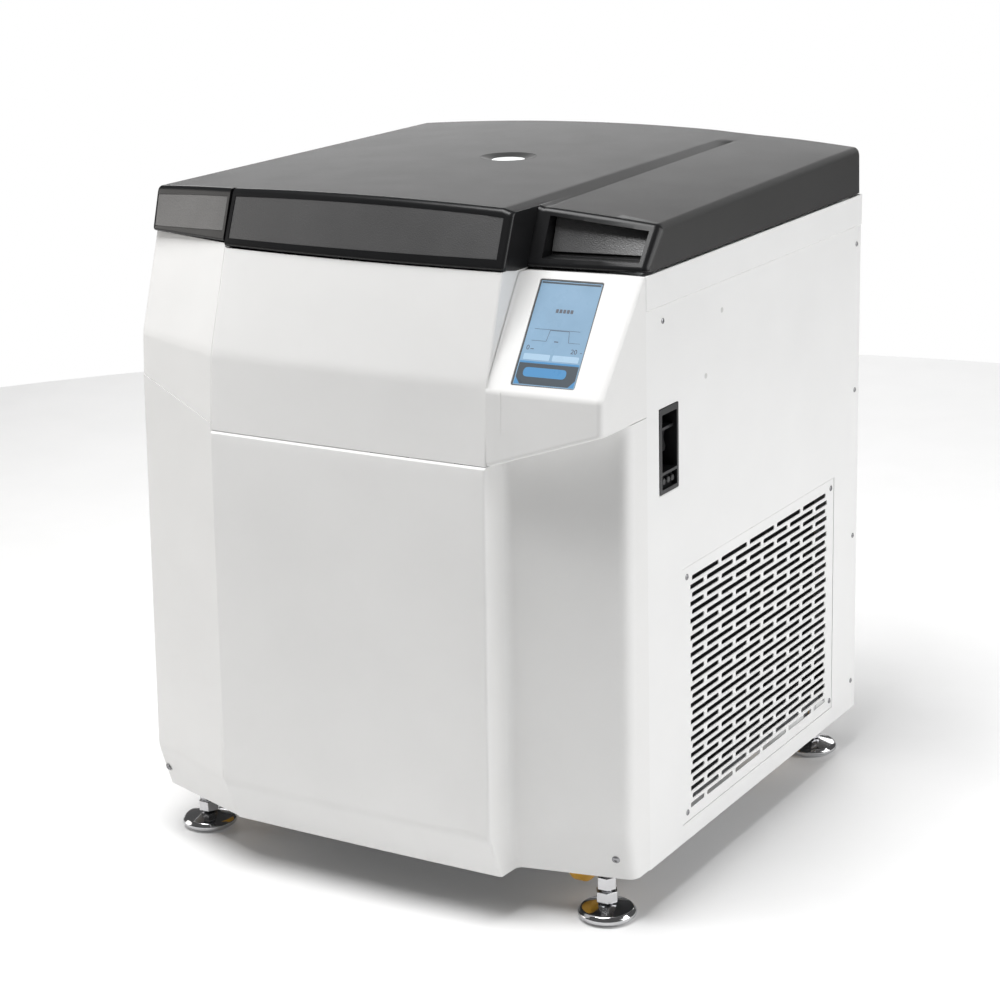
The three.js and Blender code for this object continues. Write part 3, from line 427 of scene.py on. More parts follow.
def plateTree():  # a sheet with staggered rows of slots, closed and of one thickness
    tree, given, result = newTree("slottedPlate", [
        ("Width", "Float", 0.5), ("Height", "Float", 0.4), ("Slot Length", "Float", 0.087),
        ("Slot Height", "Float", 0.0075), ("Column Step", "Float", 0.096), ("Row Step", "Float", 0.0128),
        ("Columns", "Int", 5), ("Rows", "Int", 28), ("Area", "Float", 0.24), ("Stagger", "Float", 0.5),
        ("Thickness", "Float", 0.0015), ("Place", "Vector", (0, 0, 0)), ("Turn", "Vector", (0, 0, 0)),
        ("Paint", "Material", None)])
    out = given.outputs
    middle = sums(tree, "MULTIPLY", sums(tree, "SUBTRACT", out["Rows"], 1), -0.5)
    lowEnd = vector(tree, Y=sums(tree, "MULTIPLY", middle, out["Row Step"]))
    lines = gNode(tree, "MeshLine", Count=out["Rows"], Start_Location=lowEnd,
                  Offset=vector(tree, Y=out["Row Step"]))
    middle = sums(tree, "MULTIPLY", out["Columns"], -0.5)
    leftEnd = vector(tree, X=sums(tree, "MULTIPLY", middle, out["Column Step"]))
    columns = gNode(tree, "MeshLine", Count=sums(tree, "ADD", out["Columns"], 1), Start_Location=leftEnd,
                    Offset=vector(tree, X=out["Column Step"]))
    index = gNode(tree, "InputIndex")
    even = sums(tree, "MODULO", index.outputs[0], 2.0)
    shift = sums(tree, "MULTIPLY", sums(tree, "MULTIPLY", even, out["Stagger"]), out["Column Step"])
    rows = gNode(tree, "SetPosition", Geometry=lines.outputs["Mesh"], Offset=vector(tree, X=shift))
    grid = gNode(tree, "InstanceOnPoints", Points=rows.outputs["Geometry"],
                 Instance=columns.outputs["Mesh"])
    spots = gNode(tree, "RealizeInstances", Geometry=grid.outputs["Instances"])
    bar = gNode(tree, "CurvePrimitiveQuadrilateral", Width=out["Slot Length"], Height=out["Slot Height"])
    soft = gNode(tree, "FilletCurve", {"mode": "POLY"}, Curve=bar.outputs["Curve"], Count=4,
                 Limit_Radius=True, Radius=sums(tree, "MULTIPLY", out["Slot Height"], 0.4))
    slots = gNode(tree, "InstanceOnPoints", Points=spots.outputs["Geometry"], Instance=soft.outputs["Curve"])
    loose = gNode(tree, "RealizeInstances", Geometry=slots.outputs["Instances"])
    where = gNode(tree, "InputPosition")
    split = addNode(tree, "ShaderNodeSeparateXYZ")
    plug(tree, split, n0=where.outputs[0])
    held = sums(tree, "MAXIMUM", sums(tree, "MINIMUM", split.outputs["X"], out["Area"]),
                sums(tree, "MULTIPLY", out["Area"], -1.0))
    trimmed = gNode(tree, "SetPosition", Geometry=loose.outputs["Geometry"],
                    Position=vector(tree, X=held, Y=split.outputs["Y"]))
    edge = gNode(tree, "CurvePrimitiveQuadrilateral", Width=out["Width"], Height=out["Height"])
    both = gNode(tree, "JoinGeometry")
    tree.links.new(trimmed.outputs["Geometry"], both.inputs[0])
    tree.links.new(edge.outputs["Curve"], both.inputs[0])
    face = gNode(tree, "FillCurve", Curve=both.outputs["Geometry"])
    top = gNode(tree, "ExtrudeMesh", Mesh=face.outputs["Mesh"], Offset_Scale=out["Thickness"],
                Individual=False)
    back = gNode(tree, "FlipFaces", Mesh=face.outputs["Mesh"])
    closed = gNode(tree, "JoinGeometry")
    tree.links.new(top.outputs["Mesh"], closed.inputs[0])
    tree.links.new(back.outputs["Mesh"], closed.inputs[0])
    welded = gNode(tree, "MergeByDistance", Geometry=closed.outputs["Geometry"], Distance=0.00001)
    placed = gNode(tree, "Transform", Geometry=welded.outputs["Geometry"], Translation=out["Place"],
                   Rotation=out["Turn"])
    real = gNode(tree, "RealizeInstances", Geometry=placed.outputs["Geometry"])
    paint = gNode(tree, "SetMaterial", Geometry=real.outputs["Geometry"], Material=out["Paint"])
    tree.links.new(paint.outputs["Geometry"], result.inputs["Geometry"])
    return tree


def finTree():  # equal thin plates set one behind the other
    tree, given, result = newTree("coolingFins", [
        ("Count", "Int", 90), ("Step", "Vector", (0, 0.005, 0)), ("Size", "Vector", (0.04, 0.0004, 0.3)),
        ("Start", "Vector", (0, 0, 0)), ("Metal", "Material", None)])
    out = given.outputs
    line = gNode(tree, "MeshLine", Count=out["Count"], Start_Location=out["Start"], Offset=out["Step"])
    fin = gNode(tree, "MeshCube", Size=out["Size"])
    row = gNode(tree, "InstanceOnPoints", Points=line.outputs["Mesh"], Instance=fin.outputs["Mesh"])
    real = gNode(tree, "RealizeInstances", Geometry=row.outputs["Instances"])
    paint = gNode(tree, "SetMaterial", Geometry=real.outputs["Geometry"], Material=out["Metal"])
    tree.links.new(paint.outputs["Geometry"], result.inputs["Geometry"])
    return tree


screwHeads, slottedPlate, coolingFins = screwTree(), plateTree(), finTree()


def screws(name, spots, radius, height, material, body="root", socket=0.45):
    obj = meshObject(name, [place for place, _ in spots], [], material)
    way = obj.data.attributes.new("direction", "FLOAT_VECTOR", "POINT")
    way.data.foreach_set("vector", [c for _, direction in spots for c in direction])
    fromTree(obj, screwHeads, Radius=radius / 1000, Height=height / 1000, Socket=socket, Metal=material)
    return complete(obj, body, sharp=25)


# Front covers
front = {"half": 231.5, "seam": 655, "ledge": 3, "sideY": -297.5, "side": 405}
middleKnots = [(655, -434), (767, -424), (905, -381)]
bowKnots = [(655, 2), (767, 7), (905, 9)]
lowerKnots = [(50, -420), (118, -450.7), (632, -440), (651, -437)]
recessKnots = [(50, 14), (118, -2), (645.5, 4)]


def heights(stops, soft, reach=10, steps=4):  # from the top down, close together round the soft folds
    marks = set(stops)
    for fold in soft:
        marks.update(fold + reach * k / steps for k in range(-steps, steps + 1))
    return sorted(marks, reverse=True)


def openSheet(name, rows):  # a cover's outer face, which gets its wall later
    return meshObject(name, *skin(rows, loop=False, caps=False, flip=True), look["coverPlastic"])


def upperCover():
    rows = []
    for z in heights([911.5, 860, 815, 720, 680, 655], [767]):
        y, bow = eased(z, middleKnots, 9), onLine(z, bowKnots)
        crossing = [(front["half"] * s, y - bow * (1 - s * s)) for s in [k / 8 for k in range(-7, 8)]]
        points = [(-front["half"], y + 16), (-front["half"], y), *crossing, (front["half"], y),
                  (front["half"], max(y + 70, -330))]
        radii = [0, 5] + [0] * len(crossing) + [4, 0]
        rows.append([(a, b, z) for a, b in arcPath(points, radii)])
    cover = openSheet("upper_front_cover", rows)
    return complete(cover, "root", "front_upper_cover", wall=3, bevel=0.7)


def underConsole(x):
    return between(x, 235, 405, 655, 712)


def lowerCover():
    half, ledge = front["half"], front["ledge"]
    top = lambda x: (front["seam"] if x < half + 1 else underConsole(x)) - 0.8
    start = front["seam"] - 0.8 - ledge
    shares = [0.03, 0.25, 0.5, 0.75, 0.93]  # of the way from the ledge down to the lower fold
    levels = [(-434, start, lambda x: top(x)), (-437.2, start, lambda x: top(x) - ledge)]
    levels += [(None, start - 510 * s, lambda x, s=s: (top(x) - ledge) * (1 - s) + 128 * s) for s in shares]
    levels += [(None, z, lambda x, z=z: z) for z in heights([50, 84], [118])]
    rows = []
    for middle, z, height in levels:
        y = eased(z, lowerKnots, 9) if middle is None else middle
        dent = eased(z, recessKnots, 9)
        points = [(-half, y + 14), (-half, y), (-half / 2, y - 1.5), (0, y - 2), (half / 2, y - 1.5),
                  (half + 0.5, y), (half + 3, -391.7 + dent), (front["side"], -355 + dent),
                  (front["side"], front["sideY"])]
        rows.append([(a, b, height(a)) for a, b in arcPath(points, [0, 6, 0, 0, 0, 5, 12, 20, 0])])
    return complete(openSheet("lower_front_cover", rows), "root", "front_lower_cover",
                    wall=3, bevel=0.7)


def wingCover(name, node, levels, soft):  # levels: height, rise at the outer side, corner y, joint y
    levels = sorted(levels)
    rise, corner, inner = ([(row[0], row[k]) for row in levels] for k in (1, 2, 3))
    joint = -front["half"] - 1.5
    share = lambda x: min(max((joint - x) / (joint + 405), 0), 1)
    rows = []
    for z in heights([row[0] for row in levels if row[0] not in soft], soft):
        points = [(-405, front["sideY"]), (-405, eased(z, corner, 9) + 1), (joint, eased(z, inner, 9)),
                  (joint, eased(z, inner, 9) + 10)]
        rows.append([(a, b, z + onLine(z, rise) * share(a)) for a, b in arcPath(points, [0, 10, 1.2, 0])])
    return complete(openSheet(name, rows), "root", node, wall=3, bevel=0.8)


upperCover()
lowerCover()
wingCover("upper_wing_cover", "wing_upper_cover",
          [(917, -3, -315.5, -373.2), (836, 1.5, -341, -398.5), (767, 3, -363, -420), (664, 44, -367, -429)],
          [767])
wingCover("lower_wing_cover", "wing_lower_cover",
          [(663.4, 44, -368, -430), (118, 4, -386, -446), (50, 0, -360, -416)], [118])
print("front covers made")


# Control console
console = {"left": 232.3, "right": 405, "topY": (-316, -304), "foldY": (-431, -424), "topZ": 905,
           "foldZ": 760, "back": -297.5, "corner": 8, "valley": 20}


def consoleFace(x, k):  # the outline's front points at one place across: top, fold and lower edge
    side = (x - 235) / 170
    return console[k][0] + (console[k][1] - console[k][0]) * side


def consoleSection(x, out=0.0, shrink=0.0):  # out moves the face's top out, shrink pulls the front in
    topY, foldY = consoleFace(x, "topY") - out, consoleFace(x, "foldY") - min(out, 0.5) + shrink
    floor = underConsole(x) + 0.2
    points = [(topY + shrink * 0.8, console["topZ"]), (foldY, console["foldZ"]), (foldY - 2, floor),
              (console["back"], floor), (console["back"], console["topZ"])]
    return [(x, y, z) for y, z in arcPath(points, [0, 14, 7, 0, 0])]


def consoleShell():
    rows = []
    valley = console["valley"]
    for k in range(7):  # the face sweeps out of the middle cover's return in a hollow curve
        angle = math.radians(90 * k / 6)
        rows.append(consoleSection(console["left"] + valley * (1 - math.cos(angle)),
                                   out=valley * (1 - math.sin(angle))))
    rows.append(consoleSection(320))
    r = console["corner"]
    for k in range(7):
        angle = math.radians(90 * k / 6)
        rows.append(consoleSection(console["right"] - r * (1 - math.sin(angle)),
                                   shrink=r * (1 - math.cos(angle))))
    return solidLoft("console_shell", rows, look["coverPlastic"])


def nodeFrame(node):  # centre and directions of a flat CAD piece: across, up and out of its face
    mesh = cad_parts[node].data

    def facing(test):  # the direction of the largest face that passes the test
        return max((p for p in mesh.polygons if test(p.normal)), key=lambda p: p.area).normal.copy()

    out = facing(lambda n: n.y < -0.3 and n.z > 0.3)
    across = facing(lambda n: n.x > 0.9)
    up = out.cross(across).normalized()
    low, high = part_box(node)
    centre = (low + high) / 2
    centre += out * (max(v.co.dot(out) for v in mesh.vertices) - centre.dot(out))
    return centre * 1000 - Vector((0, 0, drop)), across, up, out


screenCentre, screenAcross, screenUp, screenOut = nodeFrame("display_bezel")
screen = {"width": 92, "height": 158, "rim": 1.6, "corner": 2.5}


def onScreen(a, b, c=0.0):  # a across, b up and c out, from the middle of the screen
    return tuple(screenCentre + screenAcross * a + screenUp * b + screenOut * c)


def screenPlate(name, outline, low, high, material):  # a flat outline on the screen, between two depths
    rows = [[onScreen(a, b, c) for a, b in outline] for c in (low, high)]
    return solidLoft(name, rows, material)


def softRectangle(a0, a1, b0, b1, radius, steps=4):
    return arcPath([(a0, b0), (a1, b0), (a1, b1), (a0, b1)], [radius] * 4, steps)


def screenBlock(name, w, h, corner, low, high, material):  # w and h are half its width and height
    return screenPlate(name, softRectangle(-w, w, -h, h, corner), low, high, material)


def makeConsole():
    shell = consoleShell()
    w, h, rim, corner = screen["width"] / 2 + 1.4, screen["height"] / 2 + 1.4, screen["rim"], screen["corner"]
    carve(shell, [screenBlock("window", w, h, corner + 1, -5, 30, look["coverPlastic"])])
    complete(shell, "root", "console_housing", bevel=0.5, steps=2, corner=60)

    w, h = w - 0.5, h - 0.5
    surround = screenBlock("display_rim", w, h, corner, -4.4, -0.3, look["greyPlastic"])
    carve(surround, [screenBlock("inside", w - rim, h - rim, 1, -3.2, 5, look["greyPlastic"])])
    complete(surround, "root", "display_bezel", bevel=0.3, steps=2)
    panel = screenBlock("display_panel", w - 1.8, h - 1.8, 0.8, -3.0, -0.9, look["screenSky"])
    complete(panel, "root", "display_screen", bevel=0.2, steps=2)


def strip(a0, b0, a1, b1, thick):  # the outline of a straight line
    way = Vector((a1 - a0, b1 - b0)).normalized() * thick / 2
    return [(a0 + way.y, b0 - way.x), (a1 + way.y, b1 - way.x), (a1 - way.y, b1 + way.x),
            (a0 - way.y, b0 + way.x)]


def joined(pieces):  # several pairs of points and faces as one
    points, faces = [], []
    for more, sides in pieces:
        faces += [tuple(k + len(points) for k in face) for face in sides]
        points += more
    return points, faces


def consoleLine():  # a fine step runs round the flat below the screen
    corners = [(255, 760), (254.2, 702), (376.3, 742), (375.6, 755.5)]
    place = lambda x, z, out: (x, consoleFace(x, "foldY") - 2 * (760 - z) / 105 + out, z)
    outlines = [strip(*start, *end, 0.7) for start, end in zip(corners, corners[1:])]
    pieces = [skin([[place(x, z, out) for x, z in outline] for out in (0.4, -0.35)]) for outline in outlines]
    line = turnOut(meshObject("console_line", *joined(pieces), look["coverPlastic"]))
    complete(line, "root")


def numeral(text, left, base, height):  # a number as flat outlines on the screen
    curve = bpy.data.curves.new("numeral", "FONT")
    curve.body, curve.size, curve.extrude = text, height * 1.38, 0.05
    holder = bpy.data.objects.new("numeral", curve)
    bpy.context.scene.collection.objects.link(holder)
    bpy.context.view_layer.update()
    mesh = bpy.data.meshes.new_from_object(holder.evaluated_get(bpy.context.evaluated_depsgraph_get()))
    points = [onScreen(left + v.co.x, base + v.co.y, -0.8 + v.co.z) for v in mesh.vertices]
    faces = [tuple(p.vertices) for p in mesh.polygons]
    bpy.data.objects.remove(holder)
    return points, faces


def screenMarks():
    w, h = screen["width"] / 2 - 2.4, screen["height"] / 2 - 2.4
    box = lambda a0, a1, b0, b1: [(a0, b0), (a1, b0), (a1, b1), (a0, b1)]
    shapes = {
        "screenBand": [box(-w, w, -h, -h + 31), box(-w, w, h - 2.6, h)],
        "screenButton": [softRectangle(-w + 9, w - 15, -h + 11, -h + 25, 6.5),
                         [(-w, -h), (-w + 8, -h), (-w, -h + 10)], [(w - 8, -h), (w, -h), (w, -h + 10)],
                         box(-w, w, -h + 31.3, -h + 34)],
        "screenPale": [softRectangle(-w + 3, -2, -h + 36, -h + 45, 1.5),
                       softRectangle(2, w - 3, -h + 36, -h + 45, 1.5)],
        "screenInk": [strip(-w + 8, 5.5, w - 12, 5.5, 0.35), strip(-w + 8, -12, -14, -12, 0.35),
                      strip(-14, -12, -12, 4.5, 0.5), strip(-12, 4.5, 16, 4.5, 0.6),
                      strip(16, 4.5, 19, -12, 0.5), strip(19, -12, w - 8, -12, 0.35),
                      strip(-2, -11.8, 4, -11.8, 1.2), strip(-w + 10, -24.5, -w + 15, -24.5, 0.9),
                      strip(w - 3.6, -25.5, w - 1.2, -25.5, 0.9),
                      *[softRectangle(-12 + 5.4 * k, -8 + 5.4 * k, 31, 36.5, 0.8) for k in range(5)]],
    }
    depths = {"screenBand": -0.75, "screenButton": -0.7, "screenPale": -0.75, "screenInk": -0.72}
    names = list(shapes)
    pieces = []
    for name in names:
        for outline in shapes[name]:
            rows = [[onScreen(a, b, c) for a, b in outline] for c in (-1.0, depths[name])]
            pieces.append((names.index(name), skin(rows)))
    for text, left, base in (("0", -w + 3.5, -26), ("20", w - 18, -27.5)):
        pieces.append((names.index("screenInk"), numeral(text, left, base, 7)))
    inks = [look[name] for name in names]
    marks = meshObject("display_marks", *joined([piece for _, piece in pieces]), inks)
    marks.data.polygons.foreach_set("material_index", [index for index, (_, sides) in pieces for _ in sides])
    turnOut(marks)
    complete(marks, "root", sharp=30)


consoleLine()
makeConsole()
screenMarks()
print("console made")


# Cabinet: sides, back, belt and deck
grille = {"rows": 28, "columns": 5, "step": 96.4, "pitch": 12.85, "slot": (87.2, 7.4), "area": 241.5}
louvres = {"rows": 12, "columns": 1, "step": 240, "pitch": 26, "slot": (200, 8.5), "area": 360}


def slotted(name, node, size, place, turn, rule, thickness, stagger):
    obj = meshObject(name, [(0, 0, 0)], [], look["panelPaint"])
    (width, height), (slotLength, slotHeight) = size, rule["slot"]
    fromTree(obj, slottedPlate, Width=width / 1000, Height=height / 1000, Slot_Length=slotLength / 1000,
             Slot_Height=slotHeight / 1000, Column_Step=rule["step"] / 1000, Row_Step=rule["pitch"] / 1000,
             Columns=rule["columns"], Rows=rule["rows"], Area=rule["area"] / 1000, Stagger=stagger,
             Thickness=thickness / 1000, Place=place, Turn=turn, Paint=look["panelPaint"])
    complete(obj, "root", node, sharp=30)


def makeCabinet():
    for node in ("right_side_panel", "left_side_panel"):
        refined(node, look["panelPaint"], bevel=1.4)
    refined("upper_belt", look["panelPaint"], bevel=1.4)
    refined("top_deck", look["panelPaint"], bevel=0.8)
    low, high = nodeBox("air_grille")
    place = (0.4019, (low.y + high.y) / 2000 - 0.002, (low.z + high.z + 2 * drop) / 2000 + 0.001)
    slotted("side_grille", "air_grille", (high.y - low.y, high.z - low.z), place,
            (math.pi / 2, 0, math.pi / 2), grille, 1.6, 0.5)
    low, high = nodeBox("rear_panel")
    place = (0, high.y / 1000 - 0.003, (low.z + high.z + 2 * drop) / 2000)
    slotted("back_panel", "rear_panel", (high.x - low.x, high.z - low.z), place,
            (math.pi / 2, 0, math.pi), louvres, 3, 0.0)

    right, left, rear = (1, 0, 0), (-1, 0, 0), (0, 1, 0)
    edge = 403.5
    spots = [((edge, -246, 835), right)]
    spots += [((edge, 424, z), right) for z in (828, 591, 347, 96)]
    spots += [((-edge, y, z), left) for y in (-246, 424) for z in (828, 591, 347, 96)]
    spots += [((x, 442, z), rear) for x in (-380, 0, 380) for z in (830, 590, 340, 75)]
    screws("panel_screws", spots, 4.2, 1.4, look["screwSteel"])
    corners = [((403.5, y, z), right) for y, z in ((333, 450), (-176, 450), (336, 90), (-176, 90))]
    screws("grille_screws", corners, 4.6, 1.5, look["screwSteel"])
    plugs = [((edge, -62, 815), right), ((edge, -114, 730), right)]
    screws("panel_plugs", plugs, 4.0, 0.8, look["plugPlastic"], socket=0.2)
    lower = [((-393, -376.5, 83), (-0.33, -0.86, -0.38)), ((380, -353.6, 82), (0.21, -0.93, -0.25))]
    screws("cover_screws", lower, 6.0, 2.2, look["screwSteel"], socket=0.42)


makeCabinet()
print("cabinet made")


# Mains switch in its recess
def makeSwitch():
    low, high = nodeBox("switch_housing")
    face = 403.9
    outline = softRectangle(low.y, high.y, low.z, high.z, 2.5)
    housing = solidLoft("mains_switch_box", [[(x, y, z) for y, z in outline] for x in (low.x, face)],
                        look["blackPlastic"])
    pocket = softRectangle(low.y + 7, high.y - 5, low.z + 31, high.z - 9, 2)
    shelf = softRectangle(low.y + 7, high.y - 5, low.z + 6, low.z + 27, 2)
    for outline, depth in ((pocket, low.x + 10), (shelf, 396)):
        rows = [[(x, y, z) for y, z in outline] for x in (depth, 420)]
        carve(housing, [solidLoft("pocket", rows, look["blackPlastic"])])
    knobs = [turned("knob", [(0, 394), (5, 394), (5, 400.5), (4, 401.5), (0, 401.5)], (0, y, low.z + 16),
                    look["blackPlastic"], 24, "x") for y in (low.y + 17, low.y + 31, low.y + 43)]
    carve(housing, knobs, "UNION")
    bar = block("bar", (386, 398), (low.y + 6, high.y - 4), (high.z - 34, high.z - 30), look["greyPlastic"])
    carve(housing, [bar], "UNION")
    complete(housing, "root", "switch_housing", bevel=0.5, steps=2)

    low, high = nodeBox("switch_lever")
    corners = [(369, 643.5), (389, 643.5), (390.5, 651), (387, 662), (389.5, 675.5), (377, 675.5), (371, 660)]
    profile = arcPath(corners, [2, 2, 3, 18, 2, 2, 6])
    rows = [[(x, y, z) for x, z in profile] for y in (low.y + 1, high.y - 1)]
    paddle = solidLoft("mains_switch_paddle", rows, look["blackPlastic"])
    complete(paddle, "switch_lever", "switch_lever", bevel=0.8)


makeSwitch()


# Lid
lid = {"bottom": 908.5, "crest": 998.5, "crown": 0.000114, "wall": 6, "edge": 10, "groove": (-235.5, -229.5)}


def crown(x):
    return lid["crest"] - lid["crown"] * x * x


def bandShift(x, y):  # the shallow ramp on the lid runs a little askew, and the mesh follows it
    return between(y, -338, 300, 0, -19) * between(x, 150, 205, 0, 1) * between(x, 246, 300, 1, 0)


def sink(x, y):  # how far the top lies below the crown: a ramp, then the lower right-hand part
    right = between(y, -285, 346, 6 + between(x, 240, 405, 0, 8), 0.8) * between(y, 346, 434, 1, 0)
    ditch = between(y, -285, -200, 0.5, 4) * between(y, 339, 346, 1, 0)
    ramp = between(x, 218, 242, 0, 1)
    return right * ramp + ditch * ramp * between(x, 242, 245, 1, 0)


def lidFront(x):  # y of the sloping front at its lower edge and at its top
    if x < -232:
        return between(x, -405, -232, -329, -381), between(x, -405, -232, -311, -353)
    if x <= 234:
        bow = 10 * (1 - min((x / 232) ** 2, 1))
        return -384 - bow, -353 - bow
    return between(x, 236, 405, -319, -297), between(x, 236, 405, -285, -252)


def lidHem(x):  # the height of the front's lower edge
    if x < -232:
        return between(x, -405, -232, 917, 921)
    return between(x, -232, 232, 915, 914) if x <= 234 else lid["bottom"]


def frontTop(x):
    return crown(x) - sink(x, lidFront(x)[1])


def frontY(x, z):
    low, high = lidFront(x)
    return low + (high + 2 - low) * (z - lid["bottom"]) / (frontTop(x) - lid["bottom"])


def lidSection(x, inset=0.0, front=0.0, floor=None):
    high = lidFront(x)[1]
    bottom = lid["bottom"] if floor is None else floor
    start = frontY(x, bottom) + inset + front
    edge = high + 2 + inset + front
    places = [-240, -160, -80, 0, 80, 160, 240, 300, 336, 347, 360]
    top = [(y, crown(x) - inset - sink(x, y)) for y in places]
    points = [(edge, frontTop(x) - inset), *top, (434.5 - inset, crown(x) - inset), (437 - inset, bottom)]
    radii = [lid["edge"], *[0] * len(top), 9, 0]
    if floor is None:  # the front lip is rounded, and the underside falls back behind it
        hem = lidHem(x)
        points += [(start + 34, bottom), (frontY(x, hem) + inset + front, hem)]
        radii += [0, 5]
    else:
        points += [(start, bottom)]
        radii += [0]
    shift = lambda y, z: bandShift(x, y) if z > lid["bottom"] + 40 and y > -250 else 0
    return [(x + shift(y, z), y, z) for y, z in arcPath(points, radii)]


def lidStations():
    r, places = lid["edge"], []
    turn = [math.radians(15 * k) for k in range(7)]
    places += [(-405 + r * (1 - math.sin(a)), r * (1 - math.cos(a)), 0) for a in reversed(turn)]
    places += [(x, 0, 0) for x in (-370, -320, -270, -240, -232.05, -231.95)]
    places += [(x, 0, 0) for x in range(-220, 150, 20)]
    places += [(x, 0, 0) for x in (150, 165, 180, 192, 205, 212, 218, 221, 224, 228)]
    places += [(228 + 5.9 * math.sin(a), 0, 5.9 * (1 - math.cos(a))) for a in turn[1:]]
    places += [(x, 0, 0) for x in (234.1, 236, 239, 242, 245, 250, 265, 280, 300, 340, 370)]
    places += [(405 - r * (1 - math.sin(a)), r * (1 - math.cos(a)), 0) for a in turn]
    return places


def frontBand(name, xs, z, outer, inner, material):  # a band along the sloping front, z gives its two heights
    rows = []
    for x in xs:
        z0, z1 = z(x)
        rows.append([(x, frontY(x, z0) + outer, z0), (x, frontY(x, z1) + outer, z1),
                     (x, frontY(x, z1) + inner, z1), (x, frontY(x, z0) + inner, z0)])
    return solidLoft(name, rows, material)


def centreBand(grow):
    return lambda x: (between(x, -222, 222, 925.5, 928) - grow, frontTop(x) - 10.5 + grow)


def wingBand(grow):
    return lambda x: (between(x, -398, -238, 923.5, 934) - grow,
                      frontTop(x) - between(x, -398, -238, 12, 11) + grow)


def steps(a, b, count):
    return [a + (b - a) * k / count for k in range(count + 1)]


pocket = {"x": (253, 391), "floor": 921, "roof": (975.5, 959.5), "depth": 34}


def pocketRoof(x):
    return between(x, *pocket["x"], *pocket["roof"])


def pocketBack(x, z):
    low, high = lidFront(x)
    return between(z, pocket["floor"], pocketRoof(x), low + pocket["depth"], high + 18)


def pocketRow(x, grow):
    floor, roof = pocket["floor"] - grow, pocketRoof(x) + grow
    low, high = lidFront(x)
    points = [(low - 30, floor), (low + pocket["depth"] + grow, floor), (high + 18 + grow, roof),
              (low - 30, roof)]
    return [(x, y, z) for y, z in points]


def makeLid():
    plastic = [look["lidPlastic"], look["rimPlasticPaintedShade"]]
    shell = solidLoft("lid_cover", [lidSection(*place) for place in lidStations()], plastic)
    w = lid["wall"]
    insideRows = []
    for x, *_ in lidStations()[6:-6]:
        x = max(min(x, 405 - w), w - 405)
        if 190 < x < 234.05:
            x -= w
        insideRows.append(lidSection(x, inset=w, floor=lid["bottom"] - 12))
    inside = solidLoft("inside", insideRows, look["rimPlasticPaintedShade"])
    ends = (pocket["x"][0] - 5, pocket["x"][1] + 5)
    wall = solidLoft("wall", [pocketRow(x, 5) for x in ends], look["rimPlasticPaintedShade"])
    core = shell.copy()
    core.data = shell.data.copy()
    bpy.context.scene.collection.objects.link(core)
    carve(wall, [core], "INTERSECT")
    carve(shell, [inside])
    carve(shell, [wall], "UNION")
    hollow = solidLoft("hollow", [pocketRow(x, 0) for x in pocket["x"]], look["rimPlasticPaintedShade"])
    hole = turned("hole", [(0, 935), (27, 935), (27, 991.9), (43, 998), (43, 1010), (0, 1010)], axle,
                  look["rimPlasticPaintedShade"], 96)
    bands = [frontBand("band", steps(-224, 222, 16), centreBand(0.3), -20, 3.0, look["rimPlasticPaintedShade"]),
             frontBand("band", steps(-397, -240, 6), wingBand(0.3), -20, 3.0, look["rimPlasticPaintedShade"])]
    groove = solidLoft("groove", [[(x, frontY(x, z) + depth, z) for z, depth in
                                   ((900, -30), (1010, -30), (1010, 9), (900, 6))] for x in lid["groove"]],
                       look["rimPlasticPaintedShade"])
    carve(shell, [hollow, hole, *bands, groove])
    for face in shell.data.polygons:  # the rounded rims and recesses are smooth and darker than the broad grained faces: a glossy black rim made darker still as a painted dark reflection, and painted shade inside the handle pocket
        c = face.center * 1000
        atFront = c.y < frontY(min(c.x, 404), c.z - drop) + 9 or (abs(c.x - 231) < 6 and c.y < -262)
        inPocket = pocket["x"][0] - 2 < c.x < pocket["x"][1] + 2 and c.y < -215 and c.z - drop < 977
        face.material_index = 1 if atFront or inPocket else 0
    complete(shell, "lid", "lid_shell", bevel=1.5, steps=3, corner=55)

    grained = look["fasciaPlastic"]
    for name, node, xs, rule in (
            ("lid_front_panel", "lid_fascia_center", steps(-223.6, 221.6, 16), centreBand(0.2)),
            ("lid_wing_panel", "lid_fascia_left", steps(-396.6, -240.4, 6), wingBand(0.2))):
        complete(frontBand(name, xs, rule, 0.7, 2.8, grained), "lid", node,
                 bevel=0.6, corner=40)
    rows = []
    for x in steps(pocket["x"][0] + 1, pocket["x"][1] - 1, 4):
        z0, z1 = pocket["floor"] + 5, pocketRoof(x) - 3
        y0, y1 = pocketBack(x, z0) - 0.6, pocketBack(x, z1) - 0.6
        rows.append([(x, y0 - 3, z0), (x, y0, z0), (x, y1, z1), (x, y1 - 3, z1)])
    complete(solidLoft("pocket_panel", rows, grained), "lid", "lid_handle_insert",
             bevel=1.0, corner=40)

    dish = [(25.8, 988), (26.6, 988), (26.6, 992.3), (42.4, 998.1), (41.5, 998.5), (27.2, 995), (25.8, 994.6),
            (25.8, 988)]
    ring = turned("spy_ring", dish, axle, look["lidPlastic"], 96)
    complete(ring, "lid", "spy_window_ring", bevel=0.3, steps=2)
    pane = turned("spy_pane", [(0, 989), (25.6, 989), (25.6, 993.8), (25.0, 994.3), (0, 994.6)], axle,
                  look["windowPane"], 96)
    complete(pane, "lid", "spy_window_glass")


makeLid()
print("lid made")


